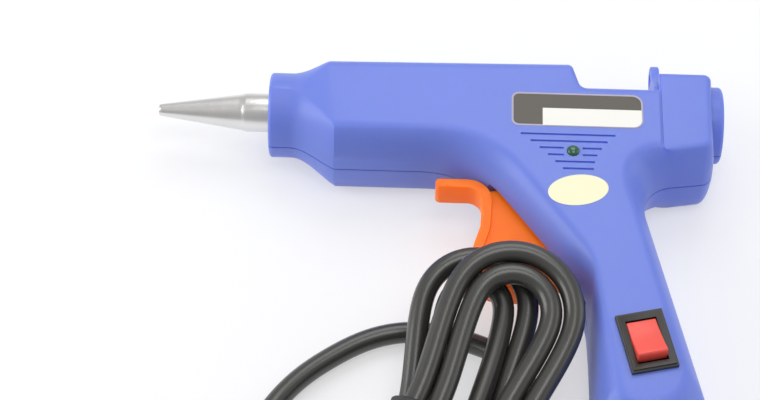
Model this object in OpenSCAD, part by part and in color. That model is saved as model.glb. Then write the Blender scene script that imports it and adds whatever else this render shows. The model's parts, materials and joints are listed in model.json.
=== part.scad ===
// Mini hot-melt glue gun for thin sticks, lying on its right side, with its mains lead in a tied hank.
// Gun frame: X runs back along the barrel from the collar's front face, Y runs up the gun from the
// barrel's axis, and Z runs across it from the parting plane into the left half.

/* [Body] */
// Thickness of the body across both half shells
body_t = 28; // [26:0.5:31]
// Wall of the half shells
wall = 2.2; // [1.8:0.1:2.5]
// Diameter of the round collar behind the nozzle
collar_d = 23.4; // [22.6:0.2:25]
// Length of the collar
collar_l = 7; // [5:0.5:9]
// Length of the flare between the collar and the barrel
flare_l = 13; // [11:0.5:16]
// Length of the barrel's straight top, from the flare to the rear step
barrel_l = 67; // [65:0.5:74]
// Height of the barrel's top above its axis at the flare
top_front = 13.8; // [13.2:0.2:15.4]
// Height of the barrel's top above its axis at the rear step
top_rear = 14.8; // [14:0.2:16.4]
// Depth of the barrel's underside below its axis
barrel_bottom = 19.2; // [18.4:0.2:21]

/* [Rear] */
// Height of the notch floor above the axis
notch_top = 5.6; // [5.4:0.1:6.4]
// Length of the notch between the step and the rear box
notch_l = 21.4; // [18:0.2:25]
// Length of the rear box
box_l = 15.8; // [14:0.2:19]
// Height of the rear box above the axis
box_top = 11.2; // [10.8:0.2:12.6]
// Depth of the rear box below the axis
box_bottom = 20.6; // [19.6:0.2:22]
// Diameter of the round boss at the stick inlet
boss_d = 21.8; // [20:0.2:22]
// Length of the boss behind the box
boss_l = 2.5; // [2:0.5:5]
// Diameter of the hanging eye
eye_d = 3.8; // [3:0.1:4.4]
// Width of rim round the hanging eye
eye_rim = 2.1; // [1.8:0.1:2.6]
// Thickness of the hanging tab
tab_t = 2.8; // [2.4:0.1:3.4]

/* [Handle] */
// Depth of the handle's base below the barrel's axis
handle_h = 103; // [100:0.5:112]
// Width of the handle at its neck
handle_w = 16; // [15:0.2:18]
// Lean of the handle in degrees
lean = 13.3; // [11:0.1:15]

/* [Nozzle and heater] */
// Length of the nozzle ahead of the collar
nozzle_l = 31; // [27:0.5:36]
// Diameter of the nozzle where it leaves the collar
nozzle_d = 11; // [10:0.2:11.8]
// Length of the nozzle's cylindrical base ahead of the collar
nozzle_base_l = 6; // [4:0.5:9]
// Diameter of the nozzle's tip
tip_d = 3.4; // [3:0.1:4.2]
// Diameter of the glue outlet
outlet_d = 1.8; // [1.2:0.1:2.2]
// Diameter of the glue stick's way through the gun
stick_d = 7.5; // [7.3:0.05:7.7]
// Diameter of the melt chamber
chamber_d = 15; // [14:0.2:15.6]
// Length of the melt chamber behind the nozzle
chamber_l = 42; // [40:0.5:43]
// Diameter of the chamber's rear spigot
spigot_d = 10; // [9.6:0.1:10.4]
// Length of the silicone inlet sleeve
sleeve_l = 13; // [12:0.5:14]

/* [Trigger] */
// Half the width of the trigger's finger strip
strip_half = 4; // [3.6:0.1:4.6]
// Thickness of the finger strip
strip_t = 2.8; // [2.2:0.1:3.2]
// Half the thickness of the trigger's web
web_half = 3; // [2.4:0.1:3.2]
// Diameter of the trigger's pivot pin
pin_d = 3.5; // [3:0.1:4]
// Length of the trigger's upper arm from pin to carriage
arm_l = 15.5; // [15:0.1:16]
// Length of the feed carriage
carriage_l = 14; // [13:0.2:15]

/* [Switch and lamp] */
// Width of the switch bezel
bezel_w = 12.5; // [12:0.1:13.4]
// Length of the switch bezel
bezel_l = 17.6; // [17:0.1:19]
// Height of the bezel above the shell
bezel_h = 1.6; // [1.2:0.1:2.2]
// Depth of the switch body inside the handle
switch_depth = 12; // [10:0.5:13]
// Width of the rocker
rocker_w = 8; // [7:0.1:8.2]
// Length of the rocker
rocker_l = 12; // [11:0.1:12.4]
// Tilt of the rocker either side of level in degrees
rocker_tilt = 14; // [10:0.5:15]
// Diameter of the pilot lamp's dome
lamp_d = 3.4; // [2.8:0.1:3.6]

/* [Cord] */
// Diameter of the mains cord
cord_d = 5.8; // [5.4:0.1:6]
// Whole loops in the hank
hank_loops = 4; // [2:2:4]
// Half the length of the hank's runs
run_half = 31; // [26:0.5:34]
// Radius of the outer loop's ends
fold_r = 19; // [18:0.2:20]
// Length of the tapered strain relief outside the handle
boot_l = 22; // [20:1:28]

/* [Clearances] */
// Gap round a seated or clamped piece
seat_gap = 0.05; // [0.02:0.01:0.1]
// Gap round a pin that turns
pin_gap = 0.06; // [0.02:0.01:0.1]
// Gap beside a piece that slides or swings
slide_gap = 0.35; // [0.3:0.05:0.5]
// Gap between neighbouring turns of the hank
turn_gap = 1; // [0.8:0.05:1.2]

/* [Hidden] */
$fn = 64;
eps = 0.02;
// Overshoot of a cut beyond the faces it opens
over = 1;
// Depth by which inner ribs and bosses root in the wall
root = 0.6;
half_t = body_t / 2;
flat_in = half_t - wall;
collar_r = collar_d / 2;

// Stations along the barrel
barrel_x = collar_l + flare_l;
step_x = barrel_x + barrel_l;
step_run = 2.2;
notch_x = step_x + step_run;
box_x = notch_x + notch_l;
box_end = box_x + box_l;
tail_x = box_end + boss_l;

// Handle lines
back_inset = 4.3;
grip_run = 28.5;
grip_slope = 54;
neck_drop = 16.8;
neck_step = 0.5;
web_drop = 3;
back_x = box_x - back_inset;
front_x = back_x - handle_w;
grip_x = step_x - grip_run;
grip_y = -barrel_bottom - (front_x - grip_x) * tan(grip_slope);
neck_y = -barrel_bottom - neck_drop;
web_y = -box_bottom - web_drop;
back_bend = back_x + neck_step;
base_back = back_bend + (handle_h + neck_y) * tan(lean);
function back_at(y) = back_bend + (neck_y - y) * tan(lean);
cord_x = (front_x + base_back) / 2;

// Hanging tab above the notch, let into the front of the rear box
tab_sink = 1;
tab_x = box_x + tab_sink - tab_t;
eye_rise = 10.1;
eye_r = eye_d / 2 + eye_rim;
eye_y = notch_top + eye_rise;

// The part stands with the middle of its footprint at the origin
mid_x = (tail_x - nozzle_l) / 2;
mid_y = (eye_y + eye_r - handle_h) / 2;

// Edges of the body: how far the flat side stands in from the outline
edge_top = 6.2;
edge_under = 6.2;
edge_notch = 5.2;
edge_box = 4.2;
collar_crown = 0.6;
collar_round = 1.0;
edge_full = 0.82;

// Corners of the outline at the parting plane: x, y, fillet radius, steps, and the shift and radius
// of the same corner on the flat side
CORNERS = [
    [step_x, top_rear, 1.6, 3, -0.7, -edge_top + 0.2, 1.6],
    [notch_x, notch_top, 3, 3, -0.2, -edge_notch, 3],
    [box_x, notch_top, 0.6, 2, 0, -edge_notch, 0.6],
    [box_x, box_top, 1.2, 3, 0, -edge_box, 1.2],
    [box_end, box_top, 2.8, 4, -2.6, -edge_box, 2.4],
    [box_end - 0.6, -box_bottom, 4, 4, -2.6, edge_box, 2.4],
    [box_x + 4.2, web_y + 1.4, 0.4, 1, -3.9, 3.2, 0.4],
    [box_x + 3.6, web_y + 1.3, 0.4, 1, -3.7, 5.4, 0.4],
    [back_x, web_y, 8.5, 7, -6.8, 6.3, 10.5],
    [back_bend, neck_y, 30, 3, -6.8, 5, 18],
    [base_back, -handle_h, 7, 5, -6.7, 4.5, 9],
    [front_x, -handle_h, 5, 5, 8.1, 4.5, 6],
    [front_x, grip_y, 30, 5, 0.4, 10.2, 20],
    [grip_x, -barrel_bottom, 28, 8, 4.9, edge_under, 28],
];
N_CORNERS = len(CORNERS);
OUTLINE = concat(
    [[barrel_x, top_front]],
    [for (c = CORNERS) [c[0], c[1]]],
    [[barrel_x, -barrel_bottom]]
);
FLAT_EDGE = concat(
    [[barrel_x, top_front - edge_top]],
    [for (c = CORNERS) [c[0] + c[4], c[1] + c[5]]],
    [[barrel_x, -barrel_bottom + edge_under]]
);
FRONT_STEPS = [0, 0.015, 0.05, 0.2, 0.35, 0.46, 0.57, 0.68, 0.79, 0.9, 1];
OUTER_ROWS = 5;
INNER_ROWS = 3;

// Melt chamber, sleeve, carriage and trigger along the barrel
front_wall = 2.5;
nozzle_r = nozzle_d / 2;
nozzle_seat = 0.6;
chamber_x = front_wall + nozzle_seat;
chamber_r = chamber_d / 2;
chamber_end = chamber_x + chamber_l;
shank_r = 3;
shank_l = 6;
spigot_r = spigot_d / 2;
spigot_l = 6;
sleeve_x = chamber_end + seat_gap;
sleeve_wall = 1.6;
sleeve_r = spigot_r + sleeve_wall;
sleeve_end = sleeve_x + sleeve_l;
stick_r = stick_d / 2;
ring_wall = 1.7;
ring_r = chamber_r + ring_wall;
ring_t = 3.4;
ring_lead = 0.4;
ring_tail = 1;
ring_front = chamber_x + ring_lead;
ring_rear = chamber_end - ring_t - ring_tail;
carriage_back = 1.6;
carriage_end = step_x - carriage_back;
carriage_x = carriage_end - carriage_l;
guide_wall = 1.7;
guide_r = stick_r + guide_wall;
pivot_back = 8;
arm_top = 9.5;
pivot = [step_x - pivot_back, -arm_l - arm_top];
pin_r = pin_d / 2;
pull_deg = 18;
feed = arm_l * pull_deg * PI / 180;
arm_end_r = 2.4;

// Place of the switch in the handle
switch_up = 21.6;
switch_y = -handle_h + switch_up;
switch_shift = 0.2;
switch_x = (front_x + back_at(switch_y)) / 2 + switch_shift;
bezel_lap = [1.9, 2.4];
switch_w = bezel_w - bezel_lap[0];
switch_l = bezel_l - bezel_lap[1];

// Case screws and their bosses
screw_r = 1.4;
screw_head_r = 2.6;
screw_head_h = 2;
screw_play = 0.2;
boss_r = 3.1;
SCREWS = [
    [sleeve_end + 3.4, -barrel_bottom + 8.8],
    [back_x - 12.3, neck_y + 2],
    [front_x + 9.7, switch_y + switch_l / 2 + boss_r + 4.7],
    [box_end - 7.4, -box_bottom + 7.4],
];

// Rocker, lamp and vents on the left side
rocker_pit = 5.6;
rocker_top = 2.4;
lamp = [step_x - 1, -barrel_bottom - 1.4];
vent_pitch = 2.3;
vent_w = 0.7;
vent_y = -barrel_bottom + 4.1;
// Left and right end of each vent slot from the lamp
VENTS = [[-14.4, 11.7], [-11.7, 9.5], [-9.2, 7.9], [-6.9, 6.6], [-4.9, 5.9], [-2.9, 5.5]];
lamp_margin = 2.6;

// Strain relief at the base
boot_r = 5.6;
boot_tip_r = 4.1;
boot_neck_r = 4;
boot_flange_r = 6;
boot_flange_t = 2;
boot_end = -handle_h - boot_l;

// Small vector helpers
function unit(v) = v / norm(v);
function turn(a, b) = a[0] * b[1] - a[1] * b[0];
function spin(v, a) = [v[0] * cos(a) - v[1] * sin(a), v[0] * sin(a) + v[1] * cos(a)];
function right_of(v) = [v[1], -v[0]];
function blend(a, b, t) = a + (b - a) * t;

// Arc that rounds the corner p between a and b
function fillet(a, p, b, r, n) =
    let (
        u = unit(a - p),
        v = unit(b - p),
        half = acos(max(-1, min(1, u * v))) / 2,
        reach = r / tan(half),
        c = p + unit(u + v) * r / sin(half),
        s = p + u * reach - c,
        e = p + v * reach - c,
        way = sign(turn(s, e))
    )
    [for (k = [0:n]) c + spin(s, way * (180 - 2 * half) * k / n)];

// Corner i of an open outline, moved to the right of its way by g
function inset_corner(pts, i, g) =
    let (
        n1 = right_of(unit(pts[i] - pts[i - 1])),
        n2 = right_of(unit(pts[i + 1] - pts[i]))
    )
    pts[i] + g * (n1 + n2) / (1 + n1 * n2);
function inset_radius(pts, i, r, g) =
    turn(pts[i] - pts[i - 1], pts[i + 1] - pts[i]) < 0 ? max(r - g, 0.3) : r + g;
function inset_path(pts, radii, g) =
    let (
        last = len(pts) - 1,
        moved = [for (i = [0:last])
            i == 0 ? pts[0] - [0, g] : i == last ? pts[last] + [0, g] : inset_corner(pts, i, g)]
    )
    [for (i = [1:last - 1])
        each fillet(moved[i - 1], moved[i], moved[i + 1],
            inset_radius(pts, i, radii[i - 1], g), CORNERS[i - 1][3])];

// Swell of the flare from 0 at the collar to 1 at the barrel
function ease(u) = u * u * (3 - 2 * u);
function flare(x) = x <= collar_l ? 0 : ease(0.8 * (x - collar_l) / flare_l) / ease(0.8);
function nose_round(x) = x >= collar_round ? 0
    : collar_round - sqrt(max(0, collar_round * collar_round - pow(collar_round - x, 2)));

// One column of the shell: its foot on the parting plane, its head on the flat side, and its height
function front_column(x, g, up) =
    let (
        s = flare(x),
        r = collar_r - g - nose_round(x),
        reach = up ? top_front - g : barrel_bottom - g,
        inner = up ? top_front - edge_top : barrel_bottom - edge_under,
        side = up ? 1 : -1
    )
    [[x, side * blend(r, reach, s)], [x, side * blend(collar_crown, inner - g / 2, s)],
        blend(r, half_t - g, s)];
function columns(g) =
    let (
        start = g > 0 ? front_wall : 0,
        xs = [for (t = FRONT_STEPS) start + (barrel_x - start) * t],
        feet = inset_path(OUTLINE, [for (c = CORNERS) c[2]], g),
        heads = inset_path(FLAT_EDGE, [for (c = CORNERS) c[6]], g / 2)
    )
    concat(
        [for (x = xs) front_column(x, g, true)],
        [for (i = [0:len(feet) - 1]) [feet[i], heads[i], half_t - g]],
        [for (i = [len(xs) - 1:-1:0]) front_column(xs[i], g, false)]
    );

// Points up one column, along a curve from upright at the foot to a soft edge at the head
function climb(col, rows) = [for (j = [0:rows])
    let (
        u = j / rows,
        b = 2 * u * (1 - u) * edge_full,
        p = blend(col[1], col[0], (1 - u) * (1 - u) + b)
    )
    [p[0], p[1], col[2] * (b + u * u)]];

// Triangles that fill a clockwise outline of the points pts[ids]
function in_corner(p, a, b, c) =
    turn(b - a, p - a) <= 0 && turn(c - b, p - b) <= 0 && turn(a - c, p - c) <= 0;
function is_ear(pts, ids, k) =
    let (
        n = len(ids),
        a = pts[ids[(k + n - 1) % n]],
        b = pts[ids[k]],
        c = pts[ids[(k + 1) % n]],
        others = [for (i = [k + 2:k + n - 2]) if (in_corner(pts[ids[i % n]], a, b, c)) i]
    )
    turn(b - a, c - b) < 0 && len(others) == 0;
function next_ear(pts, ids, k) = k == len(ids) - 1 || is_ear(pts, ids, k) ? k : next_ear(pts, ids, k + 1);
function ears(pts, ids) =
    let (n = len(ids), k = next_ear(pts, ids, 0))
    n == 3 ? [ids] : concat(
        [[ids[(k + n - 1) % n], ids[k], ids[(k + 1) % n]]],
        ears(pts, [for (i = [0:n - 1]) if (i != k) ids[i]])
    );

// Hollow half of the body above the parting plane, as one closed surface
module half_body() {
    outer = columns(0);
    inner = columns(wall);
    n = len(outer);
    front = len(FRONT_STEPS);
    a = OUTER_ROWS + 1;
    b = INNER_ROWS + 1;
    base = n * a;
    points = concat(
        [for (c = outer) each climb(c, OUTER_ROWS)],
        [for (c = inner) each climb(c, INNER_ROWS)]
    );
    outer_walls = [for (i = [0:n - 2]) for (j = [0:OUTER_ROWS - 1])
        let (p = i * a + j, q = p + a) each [[p, q, q + 1], [p, q + 1, p + 1]]];
    inner_walls = [for (i = [0:n - 2]) for (j = [0:INNER_ROWS - 1])
        let (p = base + i * b + j, q = p + b) each [[p, q + 1, q], [p, p + 1, q + 1]]];
    outer_nose = [for (i = [0:front - 2])
        [i * a + a - 1, (i + 1) * a + a - 1, (n - 2 - i) * a + a - 1, (n - 1 - i) * a + a - 1]];
    inner_nose = [for (i = [0:front - 2])
        [base + (n - 1 - i) * b + b - 1, base + (n - 2 - i) * b + b - 1,
            base + (i + 1) * b + b - 1, base + i * b + b - 1]];
    flat = [for (i = [front - 1:n - front]) i];
    outer_flat = [for (t = ears([for (c = outer) c[1]], flat)) [for (i = t) i * a + a - 1]];
    inner_flat = [for (t = ears([for (c = inner) c[1]], flat)) [for (k = [2:-1:0]) base + t[k] * b + b - 1]];
    outer_front = concat([for (j = [0:a - 1]) j], [for (j = [a - 1:-1:0]) (n - 1) * a + j]);
    inner_front = concat(
        [for (j = [0:b - 1]) base + (n - 1) * b + j],
        [for (j = [b - 1:-1:0]) base + j]
    );
    rim = [for (i = [0:n - 1])
        let (k = (i + 1) % n)
        each [[i * a, base + i * b, base + k * b], [i * a, base + k * b, k * a]]];
    polyhedron(
        points = points,
        faces = concat(outer_walls, inner_walls, outer_nose, inner_nose, outer_flat, inner_flat,
            [outer_front], [inner_front], rim),
        convexity = 12
    );
}

// Moves a piece from the gun's frame to where the part lies
module placed() {
    translate([-mid_x, -mid_y, half_t]) children();
}

// Cylinder along X from x0 to x1 round the barrel's axis
module along_x(r, x0, x1) {
    translate([x0, 0, 0]) rotate([0, 90, 0]) cylinder(r = r, h = x1 - x0);
}

// Solid turned round the barrel's axis from a profile of [x, radius] points
module turned(profile) {
    rotate([90, 0, 90]) rotate_extrude() polygon([for (p = profile) [p[1], p[0]]]);
}

// Half of a solid on the shell's side of the parting plane
module upper_half(x0, x1, reach) {
    intersection() {
        children();
        translate([x0, -reach, 0]) cube([x1 - x0, 2 * reach, reach]);
    }
}

// Upright rib with a round saddle for a piece on the axis
saddle_t = 2.2;
module saddle(x, r, below, above) {
    difference() {
        translate([x, -below, root]) cube([saddle_t, below + above, flat_in]);
        along_x(r + seat_gap, x - over, x + saddle_t + over);
    }
}

// Things that both half shells have inside: bosses, saddles, rails and the pivot's boss
rail_t = 1.6;
tongue_half = 2;
rail_y = tongue_half + slide_gap + rail_t / 2;
rail_z = 7.8;
pin_wall = 1.5;
boss_edge = 0.8;
module fittings() {
    for (s = SCREWS)
        translate([s[0], s[1], 0]) cylinder(r = boss_r, h = flat_in + root);
    translate([pivot[0], pivot[1], web_half + slide_gap])
        cylinder(r = pin_r + pin_wall, h = flat_in + root - web_half - slide_gap);
    saddle(ring_rear + (ring_t - saddle_t) / 2, ring_r, ring_r - root, ring_r - 1);
    saddle(sleeve_end - saddle_t - 0.8, sleeve_r, sleeve_r + rail_t, sleeve_r + rail_t);
    for (side = [-1, 1])
        translate([carriage_x - feed - over, side * rail_y - rail_t / 2, rail_z])
            cube([carriage_l + feed + carriage_back, rail_t, flat_in + root - rail_z]);
    upper_half(box_end - wall - over, tail_x, boss_d)
        turned([[box_end - wall - over, 0], [box_end - wall - over, boss_d / 2],
            [tail_x - boss_edge, boss_d / 2], [tail_x, boss_d / 2 - boss_edge], [tail_x, 0]]);
}

// Openings that both half shells have: nozzle, chamber ring, stick way, inlet, trigger slot, boot
module openings() {
    along_x(nozzle_r + slide_gap, -over, front_wall + over);
    along_x(ring_r + seat_gap, front_wall, ring_front + ring_t + root);
    along_x(stick_r + slide_gap, step_x - 2 * wall, box_x + 2 * wall);
    along_x(guide_r + seat_gap, box_end - wall - 2 * over, tail_x + over);
    translate([pivot[0], pivot[1], -over]) cylinder(r = pin_r + seat_gap, h = flat_in - root);
    linear_extrude(height = strip_half + slide_gap)
        polygon(concat(
            [for (i = [1:5]) STRIP[i] - strip_normal(i) * (strip_t / 2 + slide_gap)],
            [[pivot[0] - web_front, pivot[1] - 1 + slide_gap], [front_x + 1, grip_y + 9],
                [front_x + 3, grip_y - 1], [front_x - 6, grip_y - 1], [grip_x - 1, arm_y - 6]]
        ));
    translate([cord_x, -handle_h - over, 0]) rotate([-90, 0, 0])
        cylinder(r = boot_neck_r + seat_gap, h = wall + 2 * over);
    translate([cord_x, -handle_h + wall, 0]) rotate([-90, 0, 0])
        cylinder(r = boot_flange_r + seat_gap, h = 2 * boot_flange_t);
}

// Frame of the rocker switch: origin on the shell's flat side, local Y up the handle
module at_switch() {
    translate([switch_x, switch_y, half_t]) rotate([0, 0, lean]) children();
}

module vents() {
    for (i = [0:len(VENTS) - 1])
        translate([lamp[0], vent_y - i * vent_pitch, flat_in - over])
            difference() {
                translate([VENTS[i][0], -vent_w / 2, 0])
                    cube([VENTS[i][1] - VENTS[i][0], vent_w, wall + 2 * over]);
                if (abs(vent_y - i * vent_pitch - lamp[1]) < lamp_margin)
                    translate([-lamp_margin, -vent_w, -over])
                        cube([2 * lamp_margin, 2 * vent_w, wall + 4 * over]);
            }
}

module hanging_tab() {
    translate([tab_x, 0, 0]) {
        translate([0, eye_y, 0]) rotate([0, 90, 0]) cylinder(r = eye_r, h = tab_t);
        translate([0, notch_top - root, 0]) cube([tab_t, eye_y - notch_top + root, eye_r]);
    }
}

// Left half, with the switch's window, the lamp's hole, the vents, the tab and a groove before the box
groove_w = 0.8;
groove_depth = 0.5;
module left_shell() {
    color("royalblue") placed() difference() {
        union() {
            half_body();
            fittings();
            hanging_tab();
        }
        openings();
        for (s = SCREWS)
            translate([s[0], s[1], -over]) cylinder(r = screw_r + seat_gap, h = flat_in - 2 * over);
        at_switch() translate([-switch_w / 2 - seat_gap, -switch_l / 2 - seat_gap, -wall - over])
            cube([switch_w + 2 * seat_gap, switch_l + 2 * seat_gap, wall + 2 * over]);
        translate([lamp[0], lamp[1], flat_in - over])
            cylinder(r = lamp_d / 2 + seat_gap, h = wall + 2 * over);
        vents();
        translate([tab_x - over, eye_y, 0]) rotate([0, 90, 0]) cylinder(r = eye_d / 2, h = tab_t + 2 * over);
        translate([box_x - groove_w / 2, -box_bottom, half_t - groove_depth])
            cube([groove_w, box_bottom + box_top, 2 * groove_depth]);
    }
}

// Right half, with the screws' counterbores and the cord clamp's posts
screw_seat = half_t - 5;
post_r = 2.5;
post_bore = 9;
module right_shell() {
    color("royalblue") placed() mirror([0, 0, 1]) difference() {
        union() {
            half_body();
            fittings();
            for (side = [-1, 1])
                translate([cord_x + side * clamp_reach, clamp_y, -clamp_foot])
                    cylinder(r = post_r, h = flat_in + root + clamp_foot);
        }
        openings();
        for (s = SCREWS) {
            translate([s[0], s[1], -over]) cylinder(r = screw_r + screw_play, h = half_t + 2 * over);
            translate([s[0], s[1], screw_seat]) cylinder(r = screw_head_r + slide_gap, h = half_t);
        }
        for (side = [-1, 1])
            translate([cord_x + side * clamp_reach, clamp_y, -clamp_foot - over])
                cylinder(r = clamp_screw_r + seat_gap, h = post_bore);
    }
}

screw_face = -screw_seat - screw_head_h;
cross_l = 3;
cross_w = 0.6;
cross_depth = 0.9;
module case_screws() {
    color("silver") placed()
        for (s = SCREWS)
            translate([s[0], s[1], 0]) difference() {
                union() {
                    translate([0, 0, -screw_seat]) cylinder(r = screw_r, h = screw_seat + flat_in - 2 * wall);
                    translate([0, 0, screw_face]) cylinder(r = screw_head_r, h = screw_head_h);
                }
                for (a = [0, 90])
                    rotate([0, 0, a]) translate([-cross_l / 2, -cross_w / 2, screw_face - over])
                        cube([cross_l, cross_w, over + cross_depth]);
            }
}

// Turned nozzle: tip, cone, cylindrical base, and a shank that screws into the chamber
tip_edge = 0.5;
shank_wall = 1;
outlet_l = 6;
module nozzle() {
    tip_r = tip_d / 2;
    out_r = outlet_d / 2;
    seat = chamber_x;
    color("gainsboro") placed()
        turned([[-nozzle_l, out_r], [-nozzle_l, tip_r - tip_edge], [-nozzle_l + tip_edge, tip_r],
            [-nozzle_base_l - 0.8, nozzle_r - 0.3], [-nozzle_base_l, nozzle_r], [seat, nozzle_r],
            [seat, shank_r], [seat + shank_l, shank_r], [seat + shank_l, shank_r - shank_wall],
            [-nozzle_base_l, shank_r - shank_wall], [-nozzle_l + outlet_l, out_r]]);
}

// Chamber with a block below it that holds the flat heater
block_at = 15;
block_x = chamber_x + block_at;
block_l = 22;
block_half = 5.6;
block_drop = 5.4;
block_bottom = chamber_r + block_drop;
heater_t = 2.8;
heater_half = 4.4;
heater_gap = 0.1;
heater_skin = 1.2;
heater_y = -chamber_r - heater_skin - heater_t / 2;
chamber_edge = 0.6;
spigot_taper = 0.3;
module melt_chamber() {
    color("darkgray") placed() difference() {
        union() {
            turned([[chamber_x, 0], [chamber_x, chamber_r - chamber_edge],
                [chamber_x + chamber_edge, chamber_r], [chamber_end - chamber_edge, chamber_r],
                [chamber_end, chamber_r - chamber_edge],
                [chamber_end, spigot_r], [chamber_end + spigot_l, spigot_r - spigot_taper],
                [chamber_end + spigot_l, 0]]);
            translate([block_x, -block_bottom, -block_half])
                cube([block_l, block_bottom - chamber_r / 2, 2 * block_half]);
        }
        along_x(stick_r, chamber_x + shank_l + over, chamber_end + spigot_l + over);
        along_x(shank_r + seat_gap, chamber_x - over, chamber_x + shank_l + over + eps);
        translate([block_x - over, heater_y - heater_t / 2 - heater_gap, -heater_half - heater_gap])
            cube([block_l + 2 * over, heater_t + 2 * heater_gap, 2 * (heater_half + heater_gap)]);
    }
}

module insulator_rings() {
    color("wheat") placed()
        for (x = [ring_front, ring_rear])
            difference() {
                along_x(ring_r, x, x + ring_t);
                along_x(chamber_r + seat_gap, x - over, x + ring_t + over);
            }
}

stub_r = 0.7;
stub_l = 5;
stub_z = 2.4;
module heater() {
    color("peru") placed() {
        translate([block_x + over, heater_y - heater_t / 2, -heater_half])
            cube([block_l - 2 * over, heater_t, 2 * heater_half]);
        for (side = [-1, 1])
            translate([block_x + block_l - over, heater_y, side * stub_z]) rotate([0, 90, 0])
                cylinder(r = stub_r, h = stub_l);
    }
}

clip_t = 0.7;
clip_x = 6;
clip_l = 12;
clip_up = 1.6;
module heater_clip() {
    color("slategray") placed()
        translate([block_x + clip_x, 0, 0]) difference() {
            translate([0, -block_bottom - seat_gap - clip_t, -block_half - seat_gap - clip_t])
                cube([clip_l, block_drop + clip_up, 2 * (block_half + seat_gap + clip_t)]);
            translate([-over, -block_bottom - seat_gap, -block_half - seat_gap])
                cube([clip_l + 2 * over, block_bottom, 2 * (block_half + seat_gap)]);
        }
}

sleeve_edge = 1;
module inlet_sleeve() {
    color("orangered") placed() difference() {
        turned([[sleeve_x, 0], [sleeve_x, sleeve_r], [sleeve_end - sleeve_edge, sleeve_r],
            [sleeve_end, sleeve_r - sleeve_edge], [sleeve_end, 0]]);
        along_x(stick_r, sleeve_x - over, sleeve_end + over);
        along_x(spigot_r + seat_gap, sleeve_x - over, sleeve_x + spigot_l + slide_gap);
    }
}

// Open ring that holds the sleeve on the chamber's spigot
hoop_t = 0.9;
hoop_w = 3;
hoop_cut = 1.2;
hoop_x = sleeve_x + (spigot_l - hoop_w) / 2;
module sleeve_clamp() {
    color("silver") placed() difference() {
        along_x(sleeve_r + hoop_t, hoop_x, hoop_x + hoop_w);
        along_x(sleeve_r + seat_gap, hoop_x - over, hoop_x + hoop_w + over);
        translate([hoop_x - over, 0, -hoop_cut / 2])
            cube([hoop_w + 2 * over, sleeve_r + 2 * hoop_t, hoop_cut]);
    }
}

// Tube for the stick in the rear boss, held by a collar inside the box
guide_x = box_x + 3;
guide_end = tail_x - 0.5;
guide_mouth = 1.2;
guide_collar = 1.4;
guide_collar_x1 = box_end - wall - over - 0.1;
guide_collar_x0 = guide_collar_x1 - 1.5;
module stick_guide() {
    color("royalblue") placed() difference() {
        turned([[guide_x, 0], [guide_x, guide_r], [guide_collar_x0, guide_r],
            [guide_collar_x0, guide_r + guide_collar], [guide_collar_x1, guide_r + guide_collar],
            [guide_collar_x1, guide_r], [guide_end, guide_r], [guide_end, 0]]);
        turned([[guide_x - over, 0], [guide_x - over, stick_r], [tail_x - guide_mouth, stick_r],
            [tail_x, stick_r + guide_mouth], [tail_x, 0]]);
    }
}

// Middle line of the trigger's finger strip: forward arm, bend, finger hollow, hook and lip
arm_drop = 6.2;
arm_reach = 8.6;
finger_in = 3.6;
lip_rise = 5;
arm_y = -barrel_bottom - arm_drop;
finger_x = grip_x + finger_in;
lip_y = grip_y + lip_rise;
STRIP = concat(
    [[grip_x - arm_reach, arm_y]],
    fillet([grip_x - arm_reach, arm_y], [finger_x + 0.8, arm_y], [finger_x + 0.8, arm_y - 12], 5.5, 8),
    fillet([finger_x + 0.8, arm_y - 12], [finger_x + 0.2, arm_y - 15], [finger_x - 2.4, arm_y - 24], 20, 4),
    fillet([finger_x - 0.6, arm_y - 17], [finger_x - 2.2, arm_y - 24], [finger_x + 0.4, lip_y], 14, 5),
    fillet([finger_x - 1, arm_y - 26], [finger_x + 0.4, lip_y], [finger_x + 20, lip_y - 0.8], 4.5, 6),
    [[front_x - 9.5, lip_y - 0.5]]
);
// The strip's outline: its middle line moved to both sides, with the rounded free end
function strip_normal(i) =
    let (n = len(STRIP) - 1)
    right_of(unit(STRIP[min(i + 1, n)] - STRIP[max(i - 1, 0)]));
function strip_side(s) = [for (i = [0:len(STRIP) - 1]) STRIP[i] + strip_normal(i) * s * strip_t / 2];

// Web behind the strip, with the pivot and the upper arm
web_front = 8;
web_back = 6;
arm_root = 2.2;
arm_tip = 1.8;
hub_wall = 2.8;
module trigger_web() {
    inner = strip_side(-0.5);
    polygon(concat(
        [for (i = [6:len(inner) - 1]) inner[i]],
        [[front_x - 7, lip_y + 2], [pivot[0] + web_back - 0.5, grip_y + 14],
            [pivot[0] + web_back, pivot[1] - 3], [pivot[0] + arm_root, pivot[1] + hub_wall + pin_r],
            [pivot[0] + arm_tip, pivot[1] + arm_l],
            [pivot[0] - arm_tip, pivot[1] + arm_l], [pivot[0] - arm_root, pivot[1] + hub_wall + pin_r],
            [pivot[0] - web_front, pivot[1] - 1]]
    ));
}

module trigger() {
    color("orangered") placed() difference() {
        union() {
            translate([0, 0, -strip_half]) linear_extrude(height = 2 * strip_half)
                polygon(concat(strip_side(-1), [for (i = [len(STRIP) - 1:-1:0]) strip_side(1)[i]]));
            translate([STRIP[0][0], STRIP[0][1], -strip_half]) cylinder(r = strip_t / 2, h = 2 * strip_half);
            translate([0, 0, -web_half]) linear_extrude(height = 2 * web_half) trigger_web();
            translate([pivot[0], pivot[1], -web_half]) cylinder(r = pin_r + hub_wall, h = 2 * web_half);
            translate([pivot[0], pivot[1] + arm_l, -web_half]) cylinder(r = arm_end_r, h = 2 * web_half);
        }
        translate([pivot[0], pivot[1], -web_half - over])
            cylinder(r = pin_r + pin_gap, h = 2 * (web_half + over));
    }
}

pin_inset = 1.8;
module trigger_pin() {
    color("silver") placed()
        translate([pivot[0], pivot[1], -flat_in + pin_inset])
            cylinder(r = pin_r, h = 2 * (flat_in - pin_inset));
}

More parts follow.
